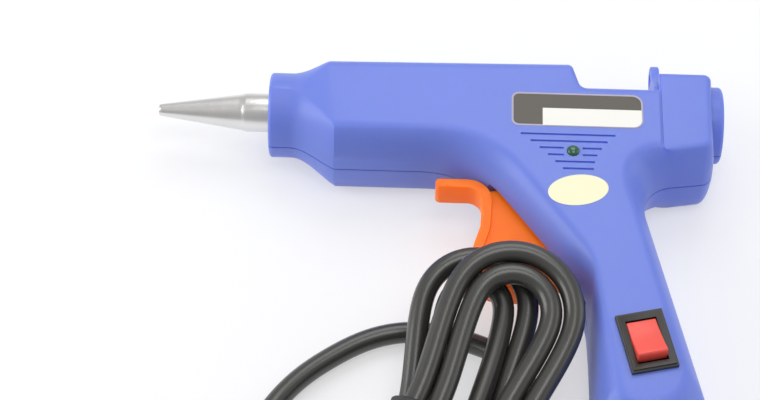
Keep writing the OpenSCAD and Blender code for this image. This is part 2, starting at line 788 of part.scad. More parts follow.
// Feed carriage: a ring round the stick with side tongues, a fork below for the trigger's arm and a
// slot above for the pawl
carriage_half = rail_z - slide_gap;
carriage_top = 7.6;
carriage_skin = 1.6;
carriage_floor = stick_r + slide_gap + carriage_skin;
fork_play = 0.5;
fork_half = arm_end_r + fork_play;
fork_wall = 2.4;
fork_depth = 6;
pawl_half = 1.8;
pawl_pin_r = 1;
pawl_inset = [3.4, 1.3];
pawl_pivot = [carriage_end - pawl_inset[0], carriage_top - pawl_inset[1]];
module feed_carriage() {
    color("dimgray") placed() difference() {
        union() {
            translate([carriage_x, -carriage_floor, -carriage_half])
                cube([carriage_l, carriage_floor + carriage_top, 2 * carriage_half]);
            translate([carriage_x, -tongue_half, -flat_in + slide_gap])
                cube([carriage_l, 2 * tongue_half, 2 * (flat_in - slide_gap)]);
            translate([pivot[0] - fork_half - fork_wall, -carriage_floor - fork_depth, -web_half - 1])
                cube([2 * (fork_half + fork_wall), fork_depth + 1, 2 * web_half + 2]);
        }
        along_x(stick_r + slide_gap, carriage_x - over, carriage_end + over);
        translate([pivot[0] - fork_half, -carriage_floor - fork_depth - over, -web_half - 2 * over])
            cube([2 * fork_half, fork_depth + over, 2 * (web_half + 2 * over)]);
        translate([carriage_x + 2, 1, -pawl_half - slide_gap])
            cube([carriage_l, carriage_top, 2 * (pawl_half + slide_gap)]);
        translate([pawl_pivot[0], pawl_pivot[1], -carriage_half - over])
            cylinder(r = pawl_pin_r + seat_gap, h = 2 * (carriage_half + over));
    }
}

// Toothed pawl that bites the stick from above when the trigger is pulled
pawl_reach = 6.4;
pawl_wall = 1;
module grip_pawl() {
    color("lightsteelblue") placed() translate([pawl_pivot[0], pawl_pivot[1], -pawl_half]) difference() {
        union() {
            cylinder(r = pawl_pin_r + pawl_wall, h = 2 * pawl_half);
            linear_extrude(height = 2 * pawl_half)
                polygon([[1.2, -1.5], [1.2, 1.5], [-pawl_reach, 0.9], [-pawl_reach - 0.6, -1.6],
                    [-pawl_reach + 0.8, -0.9], [-pawl_reach + 1.4, -1.5], [-pawl_reach + 2.6, -0.8],
                    [-pawl_reach + 3.2, -1.4]]);
        }
        translate([0, 0, -over]) cylinder(r = pawl_pin_r + pin_gap, h = 2 * (pawl_half + over));
    }
}

pawl_pin_inset = 0.4;
module pawl_pin() {
    color("silver") placed() translate([pawl_pivot[0], pawl_pivot[1], -carriage_half + pawl_pin_inset])
        cylinder(r = pawl_pin_r, h = 2 * (carriage_half - pawl_pin_inset));
}

// Tube swept along a list of points with n sides; the first and last rings stand square to start and stop
function tangent(pts, i, start, stop) =
    let (n = len(pts) - 1)
    i == 0 ? start : i == n ? stop : unit(pts[i + 1] - pts[i - 1]);
function ring(p, t, r, n) =
    let (side = unit(cross(t, [0, 0, 1])), up = cross(side, t))
    [for (k = [0:n - 1]) p + r * (cos(360 * (k + 0.5) / n) * side + sin(360 * (k + 0.5) / n) * up)];
module tube(pts, r, n, start, stop) {
    last = len(pts) - 1;
    points = [for (i = [0:last]) each ring(pts[i], tangent(pts, i, start, stop), r, n)];
    walls = [for (i = [0:last - 1]) for (k = [0:n - 1])
        let (p = i * n + k, q = i * n + (k + 1) % n)
        each [[p, q, q + n], [p, q + n, p + n]]];
    front = [for (k = [1:n - 2]) [0, k + 1, k]];
    back = [for (k = [1:n - 2]) [last * n, last * n + k, last * n + k + 1]];
    polyhedron(points = points, faces = concat(walls, front, back), convexity = 10);
}

// Compression spring round the stick between the sleeve's saddle and the carriage
spring_out = 1.4;
spring_r = stick_r + spring_out;
wire_r = 0.55;
spring_turns = 5;
spring_rings = 10;
spring_play = 0.1;
spring_x0 = sleeve_end + wire_r + spring_play;
spring_x1 = carriage_x - wire_r - spring_play;
module return_spring() {
    steps = spring_turns * spring_rings;
    path = [for (k = [0:steps])
        let (a = 360 * k / spring_rings)
        [spring_r * cos(a), spring_r * sin(a), blend(spring_x0, spring_x1, k / steps)]];
    color("silver") placed() rotate([90, 0, 90])
        tube(path, wire_r, 6, unit(path[1] - path[0]), unit(path[steps] - path[steps - 1]));
}

// Snap-in switch: body, bezel with a lip, and a pit for the rocker with bearings for its hubs
bezel_lip = 0.5;
pit_play = [0.7, 1.6];
hub_r = 1;
hub_reach = 0.9;
module switch_housing() {
    pit_w = rocker_w + pit_play[0];
    pit_l = rocker_l + pit_play[1];
    color("black") placed() at_switch() difference() {
        union() {
            linear_extrude(height = bezel_h - bezel_lip) square([bezel_w, bezel_l], center = true);
            translate([0, 0, bezel_h - bezel_lip]) linear_extrude(height = bezel_lip)
                square([bezel_w - 2 * bezel_lip, bezel_l - 2 * bezel_lip], center = true);
            translate([-switch_w / 2, -switch_l / 2, -switch_depth]) cube([switch_w, switch_l, switch_depth]);
        }
        translate([-pit_w / 2, -pit_l / 2, -rocker_pit]) cube([pit_w, pit_l, rocker_pit + bezel_h + over]);
        translate([-switch_w / 2 - over, 0, 0]) rotate([0, 90, 0])
            cylinder(r = hub_r + pin_gap, h = switch_w + 2 * over);
    }
}

module rocker() {
    end = rocker_l / 2;
    color("red") placed() at_switch() rotate([-rocker_tilt, 0, 0]) {
        translate([-rocker_w / 2, 0, 0]) rotate([90, 0, 90]) linear_extrude(height = rocker_w)
            polygon([[-end + 0.3, rocker_top], [-end, rocker_top - 0.5], [-end + 0.6, -1.4], [-2, -3.6],
                [2, -3.6], [end - 0.6, -1.4], [end, rocker_top - 0.5], [end - 0.3, rocker_top],
                [3, rocker_top - 0.35], [0, rocker_top - 0.45], [-3, rocker_top - 0.35]]);
        translate([-rocker_w / 2 - hub_reach, 0, 0]) rotate([0, 90, 0])
            cylinder(r = hub_r, h = rocker_w + 2 * hub_reach);
    }
}

blade_w = 4.8;
blade_t = 0.8;
blade_l = 7;
blade_y = 4;
blade_eye = 2.2;
blade_eye_r = 0.8;
module switch_terminals() {
    color("goldenrod") placed() at_switch()
        for (side = [-1, 1])
            translate([-blade_w / 2, side * blade_y - blade_t / 2, -switch_depth - blade_l]) difference() {
                cube([blade_w, blade_t, blade_l]);
                translate([blade_w / 2, -over, blade_eye]) rotate([-90, 0, 0])
                    cylinder(r = blade_eye_r, h = blade_t + 2 * over);
            }
}

// Pilot lamp on two wires over its small board
lamp_flange = 0.4;
lamp_root = 2;
lamp_rise = 0.2;
wire_x = 0.8;
lamp_wire_r = 0.25;
board_z = web_half + 1.6;
board_t = 1.2;
board_l = 9;
board_w = 7;
board_front = 2.4;
resistor_r = 0.8;
resistor_l = 4;
module pilot_lamp() {
    color("green") placed() translate([lamp[0], lamp[1], 0]) {
        translate([0, 0, flat_in - lamp_root]) {
            cylinder(r = lamp_d / 2, h = wall + lamp_root + lamp_rise);
            cylinder(r = lamp_d / 2 + lamp_flange, h = lamp_root / 2);
        }
        translate([0, 0, half_t + lamp_rise]) sphere(r = lamp_d / 2);
        for (side = [-1, 1])
            translate([side * wire_x, 0, board_z + board_t])
                cylinder(r = lamp_wire_r, h = flat_in - lamp_root - board_z - board_t);
    }
}

module lamp_board() {
    color("tan") placed() translate([lamp[0], lamp[1], board_z]) {
        translate([-board_front, -board_w / 2, 0]) cube([board_l, board_w, board_t]);
        translate([resistor_l / 2, -1.2, board_t + resistor_r]) rotate([0, 90, 0])
            cylinder(r = resistor_r, h = resistor_l);
    }
}

// Clamp bar over the cord inside the handle's base
clamp_reach = 5.7;
clamp_end = 2.6;
clamp_w = 4.8;
clamp_t = 3.2;
clamp_foot = 1.3;
clamp_rise = 4.6;
clamp_screw_r = 1.2;
clamp_screw_in = 5;
clamp_head_r = 2.1;
clamp_head_h = 1.6;
clamp_y = -handle_h + wall + boot_flange_t + clamp_rise;
module cord_clamp() {
    color("dimgray") placed() difference() {
        translate([cord_x - clamp_reach - clamp_end, clamp_y - clamp_w / 2, clamp_foot])
            cube([2 * (clamp_reach + clamp_end), clamp_w, clamp_t]);
        translate([cord_x, clamp_y - clamp_w, 0]) rotate([-90, 0, 0])
            cylinder(r = cord_d / 2 + seat_gap, h = 2 * clamp_w);
        for (side = [-1, 1])
            translate([cord_x + side * clamp_reach, clamp_y, 0])
                cylinder(r = clamp_screw_r + seat_gap, h = clamp_foot + clamp_t + over);
    }
}

module clamp_screws() {
    color("silver") placed()
        for (side = [-1, 1])
            translate([cord_x + side * clamp_reach, clamp_y, 0]) {
                translate([0, 0, -clamp_screw_in])
                    cylinder(r = clamp_screw_r, h = clamp_screw_in + clamp_foot + clamp_t);
                translate([0, 0, clamp_foot + clamp_t]) cylinder(r = clamp_head_r, h = clamp_head_h);
            }
}

// Ribbed tapered boot, held by its flange behind the handle's base
boot_ribs = 5;
boot_collar = 2.4;
boot_collar_out = 0.6;
boot_groove = 0.9;
module strain_relief() {
    rib = (boot_l - boot_collar) / (boot_ribs + 0.5);
    taper = (boot_r - boot_tip_r) / boot_ribs;
    profile = concat(
        [[-wall - boot_flange_t - seat_gap, 0], [-wall - boot_flange_t - seat_gap, boot_flange_r],
            [-wall - seat_gap, boot_flange_r], [-wall - seat_gap, boot_neck_r], [seat_gap, boot_neck_r],
            [seat_gap, boot_r + boot_collar_out], [boot_collar, boot_r + boot_collar_out / 2]],
        [for (i = [0:boot_ribs - 1])
            let (y = boot_collar + i * rib, r = boot_r - i * taper)
            each [[y, r - boot_groove], [y + rib * 0.3, r - boot_groove], [y + rib * 0.45, r], [y + rib, r]]],
        [[boot_l, boot_tip_r], [boot_l, 0]]
    );
    color("black") placed() translate([cord_x, -handle_h, 0]) rotate([90, 0, 0]) difference() {
        rotate_extrude() polygon([for (p = profile) [p[1], p[0]]]);
        translate([0, 0, -wall - boot_flange_t - over])
            cylinder(r = cord_d / 2 + seat_gap, h = wall + boot_flange_t + boot_l + 2 * over);
    }
}

// Hank: loops round a drawn-in waist, spiralling in on the lower layer and out again on the upper one.
// Its lower end lies on the table and its upper end on the trigger.
cord_r = cord_d / 2;
hank_shift = [-2.9, 4.8];
hank_mid = [grip_x + hank_shift[0], -handle_h + hank_shift[1]];
lower_turn = -10;
upper_turn = -23;
waist_draw = 2.8;
turn_pitch = cord_d + turn_gap;
hank_reach = run_half + fold_r;
table_z = -half_t;
hank_low = table_z + cord_r;
hank_rest = strip_half + slide_gap + cord_r;
hank_slope = (hank_rest - hank_low) / (lip_y - 2 * strip_t - hank_mid[1] + hank_reach);
layer_play = 0.1;
layer_step = turn_pitch / cos(atan(hank_slope)) + layer_play;
loop_rings = 24;
hank_rings = hank_loops * loop_rings;
run_share = 1 / 6;
climb_start = 0.56;
// Share of the way from the lower to the upper layer, climbed along the run where the spiral reverses
function layer(u) = ease(max(0, min(1, (u - hank_loops / 2) / run_share + climb_start)));
function fold_at(u) = fold_r - turn_pitch * (u < hank_loops / 2 ? u : hank_loops - u);
// Place round one loop: s runs from 0 at the right waist, clockwise, by the lower fold, up the left run
half_run = run_share / 2;
fold_turn = 180 / (0.5 - run_share);
function loop_at(s, r) =
    s < half_run ? [r, -run_half * s / half_run]
    : s < 0.5 - half_run ? [0, -run_half] + spin([r, 0], -(s - half_run) * fold_turn)
    : s < 0.5 + half_run ? [-r, run_half * (s - 0.5) / half_run]
    : s < 1 - half_run ? [0, run_half] + spin([-r, 0], -(s - 0.5 - half_run) * fold_turn)
    : [r, run_half * (1 - s) / half_run];
function waisted(p) =
    abs(p[1]) > run_half ? p : [p[0] - sign(p[0]) * waist_draw * pow(cos(90 * p[1] / run_half), 2), p[1]];
function hank_point(u) =
    let (
        flat = waisted(loop_at(u - floor(u), fold_at(u))),
        p = hank_mid + spin(flat, blend(lower_turn, upper_turn, layer(u)))
    )
    [p[0], p[1], hank_low + hank_slope * (p[1] - hank_mid[1] + hank_reach) + layer(u) * layer_step];
HANK = [for (k = [0:hank_rings]) hank_point(k / loop_rings)];
function run_way(a) = let (d = spin([0, -1], a)) unit([d[0], d[1], hank_slope * d[1]]);
hank_start = run_way(lower_turn);
hank_stop = run_way(upper_turn);
hank_gap = min([for (i = [0:hank_rings - 8]) for (j = [i + 8:hank_rings]) norm(HANK[i] - HANK[j])]) - cord_d;
echo(hank_gap = hank_gap);

module cord_hank() {
    color("black") placed() tube(HANK, cord_r, 6, hank_start, hank_stop);
}

// Smooth line through hand-chosen points, with a few steps between each pair
route_steps = 2;
function spline(p, i, t) =
    let (
        n = len(p) - 1,
        a = p[max(i - 1, 0)],
        b = p[i],
        c = p[i + 1],
        d = p[min(i + 2, n)]
    )
    0.5 * (2 * b + (c - a) * t + (2 * a - 5 * b + 4 * c - d) * t * t + (3 * b - 3 * c + d - a) * t * t * t);
function smooth(p) = concat(
    [for (i = [0:len(p) - 2]) for (k = [0:route_steps - 1]) spline(p, i, k / route_steps)],
    [p[len(p) - 1]]
);

// Lead from inside the handle, through the strain relief and round to the hank's upper layer
LEAD_BEND = [[105.8, -136.3, -1.4], [102.6, -142.4, -3.2], [97, -146.6, -4.6], [90, -148, -4.8],
    [83, -146.4, -4], [76.2, -142.2, -2.6], [71, -136, -1], [67.8, -128, 0.6], [66.6, -119.4, 2.2]];
// Tail from the plug across the table and under the hank to its lower layer
TAIL_BEND = [[2.2, -103, -8.2], [4, -95.5, -10.2], [7.8, -87.8, -11], [14, -80.2, -11],
    [21.5, -74, -11], [29.5, -68.8, -11], [37.5, -65.8, -11], [45.5, -65, -11], [53.5, -66.4, -10.6],
    [60.6, -69.4, -9.4], [67, -73.6, -7], [72.2, -79.6, -4.2], [74.4, -87, -1.8]];
boot_mouth = [cord_x, boot_end, 0];
lead_inner = [cord_x, clamp_y + 5, 0];
module cord_lead() {
    last = HANK[hank_rings];
    path = concat(
        [lead_inner, [cord_x, -handle_h, 0], [cord_x, boot_end + 6, 0], boot_mouth],
        smooth(concat([boot_mouth - [0, cord_d, 0]], LEAD_BEND, [last + hank_stop * cord_d])),
        [last]
    );
    color("black") placed() tube(path, cord_r, 8, [0, -1, 0], -hank_stop);
}

// Plug: neck, bell, flange and two pins with sleeves
plug_w = 35;
plug_h = 13.6;
plug_l = 34;
flange_l = 6.5;
neck_l = 9;
neck_r = 4.4;
neck_flare = 0.6;
bell_inset = 2.5;
plug_bell_h = 11;
sleeve_len = 10;
sleeve_thin = 0.3;
pin_core = 0.8;
pin_tip = 1;
plug_pin_r = 2;
plug_pin_l = 19;
plug_pitch = 18.6;
grip_ribs = 5;
grip_rib = [9, 1.2, 0.8];
grip_rib_pitch = 2.4;
plug_at = [2, -114, table_z + plug_h / 2];
module cord_tail() {
    path = concat(
        [plug_at],
        smooth(concat([plug_at + [0, cord_d, 0]], TAIL_BEND, [HANK[0] - hank_start * cord_d])),
        [HANK[0]]
    );
    color("black") placed() tube(path, cord_r, 8, [0, 1, 0], hank_start);
}

// Strap round the hank just below its waist
tie_w = 7;
tie_t = 1.2;
tie_down = 5;
tie_gap = 0.7;
tie_side = 1.2;
module tie_ring(grow) {
    deep = (layer_step + cord_d) / 2 + tie_gap + grow;
    across = fold_r - waist_draw - turn_pitch / 4 + cord_r + tie_side + grow;
    square([2 * (across - deep / 2), 2 * deep], center = true);
    for (side = [-1, 1])
        translate([side * (across - deep / 2), 0]) circle(r = deep);
}
module cord_tie() {
    tilt = (lower_turn + upper_turn) / 2;
    at = hank_mid + spin([turn_pitch / 4, -tie_down], tilt);
    z = hank_low + hank_slope * (hank_reach - tie_down) + layer_step / 2;
    color("dimgray") placed() translate([at[0], at[1], z])
        rotate([0, 0, tilt]) rotate([90 + atan(hank_slope), 0, 0])
            translate([0, 0, -tie_w / 2]) linear_extrude(height = tie_w)
                rotate(atan(hank_slope * sin(tilt))) difference() {
                    tie_ring(tie_t);
                    tie_ring(0);
                }
}

// Flat two-pin plug, lying on the table with its pins away from the gun
bell_half = plug_w / 2 - bell_inset;
BELL = concat(
    [[-neck_r - neck_flare, 0]],
    fillet([-neck_r - neck_flare, 0], [-neck_r - 3, -neck_l], [-bell_half - 0.5, -plug_l + flange_l], 14, 5),
    fillet([-neck_r - 3, -neck_l], [-bell_half, -plug_l + flange_l + 4], [-bell_half, -plug_l], 6, 4),
    [[-bell_half, -plug_l + flange_l - over]]
);
module plug_body() {
    color("black") placed() translate(plug_at) difference() {
        union() {
            translate([0, 0, -plug_bell_h / 2]) linear_extrude(height = plug_bell_h)
                polygon(concat(BELL, [for (i = [len(BELL) - 1:-1:0]) [-BELL[i][0], BELL[i][1]]]));
            translate([0, -plug_l, 0]) rotate([-90, 0, 0]) linear_extrude(height = flange_l) {
                square([plug_w - plug_h, plug_h], center = true);
                for (side = [-1, 1])
                    translate([side * (plug_w - plug_h) / 2, 0]) circle(r = plug_h / 2);
            }
            for (i = [0:grip_ribs - 1], side = [-1, 1])
                translate([-grip_rib[0] / 2, -neck_l - 3 - i * grip_rib_pitch,
                        side * plug_bell_h / 2 - grip_rib[2] / 2])
                    cube(grip_rib);
            for (side = [-1, 1])
                translate([side * plug_pitch / 2, -plug_l - sleeve_len, 0]) rotate([-90, 0, 0])
                    cylinder(r = plug_pin_r - sleeve_thin, h = sleeve_len + over);
        }
        for (side = [-1, 1])
            translate([side * plug_pitch / 2, -plug_l - sleeve_len - over, 0]) rotate([-90, 0, 0])
                cylinder(r = plug_pin_r - pin_core + seat_gap, h = sleeve_len + flange_l + over);
        for (i = [1, 2], side = [-1, 1])
            translate([-neck_l, -i * neck_l / 3, side * plug_bell_h / 2 - grip_rib[1] / 2])
                cube([2 * neck_l, grip_rib[1], grip_rib[1]]);
    }
}

module plug_pins() {
    color("silver") placed() translate(plug_at)
        for (side = [-1, 1])
            translate([side * plug_pitch / 2, -plug_l, 0]) rotate([90, 0, 0]) {
                translate([0, 0, -flange_l + pin_core])
                    cylinder(r = plug_pin_r - pin_core, h = flange_l + sleeve_len - pin_core);
                translate([0, 0, sleeve_len]) cylinder(r = plug_pin_r, h = plug_pin_l - sleeve_len - pin_tip);
                translate([0, 0, plug_pin_l - pin_tip])
                    cylinder(r1 = plug_pin_r, r2 = plug_pin_r - pin_tip, h = pin_tip);
            }
}

left_shell();
right_shell();
case_screws();
nozzle();
melt_chamber();
insulator_rings();
heater();
heater_clip();
inlet_sleeve();
sleeve_clamp();
stick_guide();
trigger();
trigger_pin();
feed_carriage();
grip_pawl();
pawl_pin();
return_spring();
switch_housing();
rocker();
switch_terminals();
pilot_lamp();
lamp_board();
cord_clamp();
clamp_screws();
strain_relief();
cord_lead();
cord_hank();
cord_tail();
cord_tie();
plug_body();
plug_pins();
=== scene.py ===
"""Looks of a small hot-melt glue gun, lying on its side with its mains cord in a tied hank."""

import json
import logging
import math
from dataclasses import dataclass
from enum import Enum
from typing import Dict, List, NamedTuple, Sequence, Tuple, Union

import bmesh
import bpy
import numpy as np
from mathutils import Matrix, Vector


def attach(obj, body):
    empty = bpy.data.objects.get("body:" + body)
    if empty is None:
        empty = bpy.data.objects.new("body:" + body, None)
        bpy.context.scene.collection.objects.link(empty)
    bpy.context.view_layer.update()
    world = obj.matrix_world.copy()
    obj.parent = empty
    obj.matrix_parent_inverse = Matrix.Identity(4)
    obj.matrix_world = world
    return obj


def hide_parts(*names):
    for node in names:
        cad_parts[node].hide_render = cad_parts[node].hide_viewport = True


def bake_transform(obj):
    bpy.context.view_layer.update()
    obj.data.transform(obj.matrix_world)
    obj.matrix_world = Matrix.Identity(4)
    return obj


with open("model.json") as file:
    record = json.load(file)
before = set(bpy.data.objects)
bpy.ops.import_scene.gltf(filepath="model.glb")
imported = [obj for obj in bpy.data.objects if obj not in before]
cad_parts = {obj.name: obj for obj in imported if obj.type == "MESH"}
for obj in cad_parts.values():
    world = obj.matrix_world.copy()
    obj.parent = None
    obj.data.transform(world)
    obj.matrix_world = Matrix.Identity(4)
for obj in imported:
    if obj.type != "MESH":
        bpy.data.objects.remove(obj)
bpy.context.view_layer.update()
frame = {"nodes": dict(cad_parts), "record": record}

LOG = logging.getLogger("glue_gun")
MM = 0.001

Point2 = Tuple[float, float]
Point3 = Tuple[float, float, float]
Colour = Tuple[float, float, float]
MeshData = Tuple[List[Point3], List[List[int]]]
SocketValue = Union[float, Sequence[float], bpy.types.NodeSocket]


class Side(Enum):
    """The two half shells, by the sign of Z in the gun's frame."""

    LEFT = 1
    RIGHT = -1


class Axis(Enum):
    """Axes that a mesh made along X can be turned onto."""

    Y = "y"
    Z = "z"


class Pattern(Enum):
    """Surface effects that a finish can carry."""

    GRAIN = "grain"
    TURNED = "turned"
    PLAIN = "plain"


class Corner(NamedTuple):
    """Corner of the outline: its place, fillet and steps, and its shift and fillet on the flat side."""

    x: float
    y: float
    r: float
    steps: int
    shift_x: float
    shift_y: float
    flat_r: float


class Column(NamedTuple):
    """Foot on the parting plane, head and height on the flat side, and end of the softened edge."""

    foot: np.ndarray
    head: np.ndarray
    h: float
    soft: np.ndarray


@dataclass(frozen=True)
class Plan:
    """Sizes of the gun in millimetres: X back from the collar's face, Y up from the axis, Z across."""

    body_t: float = 28.0
    wall: float = 2.2
    front_wall: float = 2.5
    collar_r: float = 12.2
    collar_x: float = 0.9
    collar_l: float = 7.0
    flare_l: float = 13.0
    flare_top: float = 10.6
    barrel_x: float = 20.0
    step_x: float = 86.6
    notch_x: float = 88.7
    box_x: float = 110.6
    box_end: float = 126.4
    tail_x: float = 128.9
    top_front: float = 13.8
    top_rear: float = 14.8
    barrel_bottom: float = 19.2
    notch_top: float = 6.0
    box_top: float = 11.2
    box_bottom: float = 20.6
    boss_r: float = 10.9
    guide_r: float = 5.45
    nozzle_l: float = 31.0
    nozzle_r: float = 5.5
    handle_h: float = 103.0
    front_x: float = 90.3
    back_x: float = 106.3
    base_back: float = 122.638
    lean: float = 13.3
    grip_x: float = 58.5
    grip_y: float = -62.969
    neck_y: float = -36.0
    web_y: float = -23.6
    edge: float = 6.2
    edge_notch: float = 5.2
    edge_box: float = 4.2
    eye_y: float = 15.7
    eye_r: float = 1.9
    tab_r: float = 4.0
    tab_t: float = 2.45
    tab_sink: float = 1.35
    mid_x: float = 48.95
    mid_y: float = -41.65
    cord_x: float = 106.469
    boot_l: float = 22.0
    switch_at: Point2 = (104.116, -81.4)

    @property
    def half_t(self) -> float:
        """Half the body's thickness, from the parting plane to the flat side."""
        return self.body_t / 2

    def place(self, points: Sequence[Sequence[float]]) -> List[Point3]:
        """Carries points from the gun's frame to the row's frame.

        Args:
            points: Points in millimetres in the gun's frame.

        Returns:
            The same points in metres in the row's frame.
        """
        return [
            ((p[0] - self.mid_x) * MM, (p[1] - self.mid_y) * MM, (p[2] + self.half_t) * MM)
            for p in points
        ]

    def placed(self, data: MeshData) -> MeshData:
        """Carries a mesh from the gun's frame to the row's frame."""
        return self.place(data[0]), data[1]

    def corners(self) -> List[Corner]:
        """Corners of the outline from the top of the step round to the underside of the barrel.

        Returns:
            The corners in order.
        """
        return [
            Corner(self.step_x, self.top_rear, 1.6, 3, -0.7, -self.edge + 0.2, 1.6),
            Corner(self.notch_x, self.notch_top, 2.6, 3, -0.2, -self.edge_notch, 2.6),
            Corner(self.box_x, self.notch_top, 0.6, 2, 0.0, -self.edge_notch, 0.6),
            Corner(self.box_x, self.box_top, 0.4, 3, 0.0, -self.edge_box, 0.4),
            Corner(self.box_end, self.box_top, 2.0, 4, -1.8, -self.edge_box, 1.8),
            Corner(self.box_end - 0.6, -self.box_bottom, 4.0, 4, -1.9, self.edge_box, 2.0),
            Corner(self.box_x + 4.2, self.web_y + 1.4, 0.4, 1, -3.9, 3.2, 0.4),
            Corner(self.box_x + 3.6, self.web_y + 1.3, 0.4, 1, -3.7, 5.4, 0.4),
            Corner(self.back_x, self.web_y, 8.5, 7, -6.8, 6.3, 10.5),
            Corner(self.back_x + 0.5, self.neck_y, 30.0, 3, -6.8, 5.0, 18.0),
            Corner(self.base_back, -self.handle_h, 7.0, 5, -6.7, 4.5, 9.0),
            Corner(self.front_x, -self.handle_h, 5.0, 5, 8.1, 4.5, 6.0),
            Corner(self.front_x, self.grip_y, 30.0, 5, 0.4, 10.2, 20.0),
            Corner(self.grip_x, -self.barrel_bottom, 28.0, 8, 4.9, self.edge, 28.0),
        ]


PLAN = Plan()


def rotate2(v: Sequence[float], degrees: float) -> np.ndarray:
    """Turns a plane vector counterclockwise.

    Args:
        v: The vector.
        degrees: The angle.

    Returns:
        The turned vector.
    """
    c, s = math.cos(math.radians(degrees)), math.sin(math.radians(degrees))
    return np.array([v[0] * c - v[1] * s, v[0] * s + v[1] * c])


def unit(v: np.ndarray) -> np.ndarray:
    """Gives a vector the length 1."""
    return v / np.linalg.norm(v)


def ease(t: float) -> float:
    """Eases a share from 0 to 1 at both ends."""
    return t * t * (3 - 2 * t)


class MeshKit:
    """Small mesh makers that all pieces share."""

    BEVEL_STEPS = 3
    BEVEL_ANGLE = 32.0
    BEVEL_SHADE = 40.0
    WELD = 2e-6
    FLAT_ANGLE = 1.0

    @staticmethod
    def link(name: str, data: bpy.types.ID) -> bpy.types.Object:
        """Makes an object of a mesh, camera or light and puts it in the scene.

        Args:
            name: The object's name.
            data: What it shows.

        Returns:
            The linked object.
        """
        obj = bpy.data.objects.new(name, data)
        bpy.context.scene.collection.objects.link(obj)
        return obj

    @staticmethod
    def make(name: str, data: MeshData, smooth: float = 35.0) -> bpy.types.Object:
        """Makes an object from points and faces in the row's frame.

        Args:
            name: The object's name.
            data: Points and faces.
            smooth: Edges sharper than this angle in degrees stay sharp.

        Returns:
            The linked object.
        """
        mesh = bpy.data.meshes.new(name)
        mesh.from_pydata(data[0], [], data[1])
        bm = bmesh.new()
        bm.from_mesh(mesh)
        wide = [f for f in bm.faces if len(f.verts) > 4]
        bmesh.ops.triangulate(bm, faces=wide, quad_method="BEAUTY", ngon_method="EAR_CLIP")
        bmesh.ops.recalc_face_normals(bm, faces=bm.faces)
        bm.to_mesh(mesh)
        bm.free()
        obj = MeshKit.link(name, mesh)
        MeshKit.shade(obj, smooth)
        return obj

    @staticmethod
    def shade(obj: bpy.types.Object, smooth: float) -> None:
        """Shades an object smooth up to an angle in degrees."""
        obj.data.shade_smooth()
        obj.data.set_sharp_from_angle(angle=math.radians(smooth))

    @staticmethod
    def merge(parts: Sequence[MeshData]) -> MeshData:
        """Joins separate meshes into one list of points and faces.

        Args:
            parts: The meshes.

        Returns:
            The joined mesh.
        """
        points: List[Point3] = []
        faces: List[List[int]] = []
        for verts, polys in parts:
            base = len(points)
            points.extend(verts)
            faces.extend([[base + i for i in f] for f in polys])
        return points, faces

    @staticmethod
    def skin(rings: Sequence[Sequence[Sequence[float]]], closed: bool = False) -> MeshData:
        """Covers a row of rings that have the same number of points.

        Args:
            rings: The rings' points.
            closed: True where the last ring joins the first, False for a cap at each end.

        Returns:
            The closed mesh.
        """
        count, n = len(rings), len(rings[0])
        faces: List[List[int]] = []
        for r in range(count if closed else count - 1):
            a, b = r * n, (r + 1) % count * n
            faces += [[a + k, a + (k + 1) % n, b + (k + 1) % n, b + k] for k in range(n)]
        if not closed:
            faces += [list(range(n))[::-1], list(range((count - 1) * n, count * n))]
        return [tuple(q) for ring in rings for q in ring], faces

    @staticmethod
    def oval(w: float, h: float, sides: int, power: float = 2.0) -> List[Point2]:
        """Points of an oval, counterclockwise.

        Args:
            w: Half its width.
            h: Half its height.
            sides: Number of points.
            power: 2 for a true oval, more for one with fuller corners.

        Returns:
            The points.
        """
        out = []
        for k in range(sides):
            c, s = math.cos(2 * math.pi * k / sides), math.sin(2 * math.pi * k / sides)
            x, y = math.copysign(abs(c) ** (2 / power), c), math.copysign(abs(s) ** (2 / power), s)
            out.append((w * x, h * y))
        return out

    @staticmethod
    def prism(outline: Sequence[Point2], z0: float, z1: float) -> MeshData:
        """Extrudes an outline along Z between two heights."""
        return MeshKit.skin([[(x, y, z) for x, y in outline] for z in (z0, z1)])

    @staticmethod
    def box(low: Sequence[float], high: Sequence[float]) -> MeshData:
        """Makes a box from its lowest and highest corners."""
        square = [(low[0], low[1]), (high[0], low[1]), (high[0], high[1]), (low[0], high[1])]
        return MeshKit.prism(square, low[2], high[2])

    @staticmethod
    def rod(radius: float, x0: float, x1: float, sides: int = 48) -> MeshData:
        """Makes a solid rod along X between two ends."""
        around = MeshKit.oval(radius, radius, sides)
        return MeshKit.skin([[(x, y, z) for y, z in around] for x in (x0, x1)])

    @staticmethod
    def lathe(profile: Sequence[Point2], steps: int, start: float = 0.0, sweep: float = 360.0) -> MeshData:
        """Turns a closed profile of [along, radius] points round the X axis.

        Args:
            profile: Points of the section.
            steps: Steps round the axis.
            start: First angle in degrees from +Y towards +Z.
            sweep: Angle swept in degrees.

        Returns:
            The turned solid.
        """
        whole = sweep >= 360.0
        rings = []
        for k in range(steps if whole else steps + 1):
            a = math.radians(start + sweep * k / steps)
            rings.append([(x, r * math.cos(a), r * math.sin(a)) for x, r in profile])
        return MeshKit.skin(rings, whole)

    @staticmethod
    def tube(path: np.ndarray, radius: float, sides: int) -> MeshData:
        """Sweeps a round section along a path without twist.

        Args:
            path: Points of the centreline.
            radius: The tube's radius.
            sides: Sides of the section.

        Returns:
            The tube in the path's frame.
        """
        tangents = np.gradient(path, axis=0)
        tangents /= np.linalg.norm(tangents, axis=1)[:, None]
        normal = np.cross(tangents[0], [0.0, 0.0, 1.0])
        around = MeshKit.oval(radius, radius, sides)
        rings = []
        for p, t in zip(path, tangents):
            normal = unit(normal - t * np.dot(normal, t))
            other = np.cross(t, normal)
            rings.append([p + u * normal + v * other for u, v in around])
        return MeshKit.skin(rings)

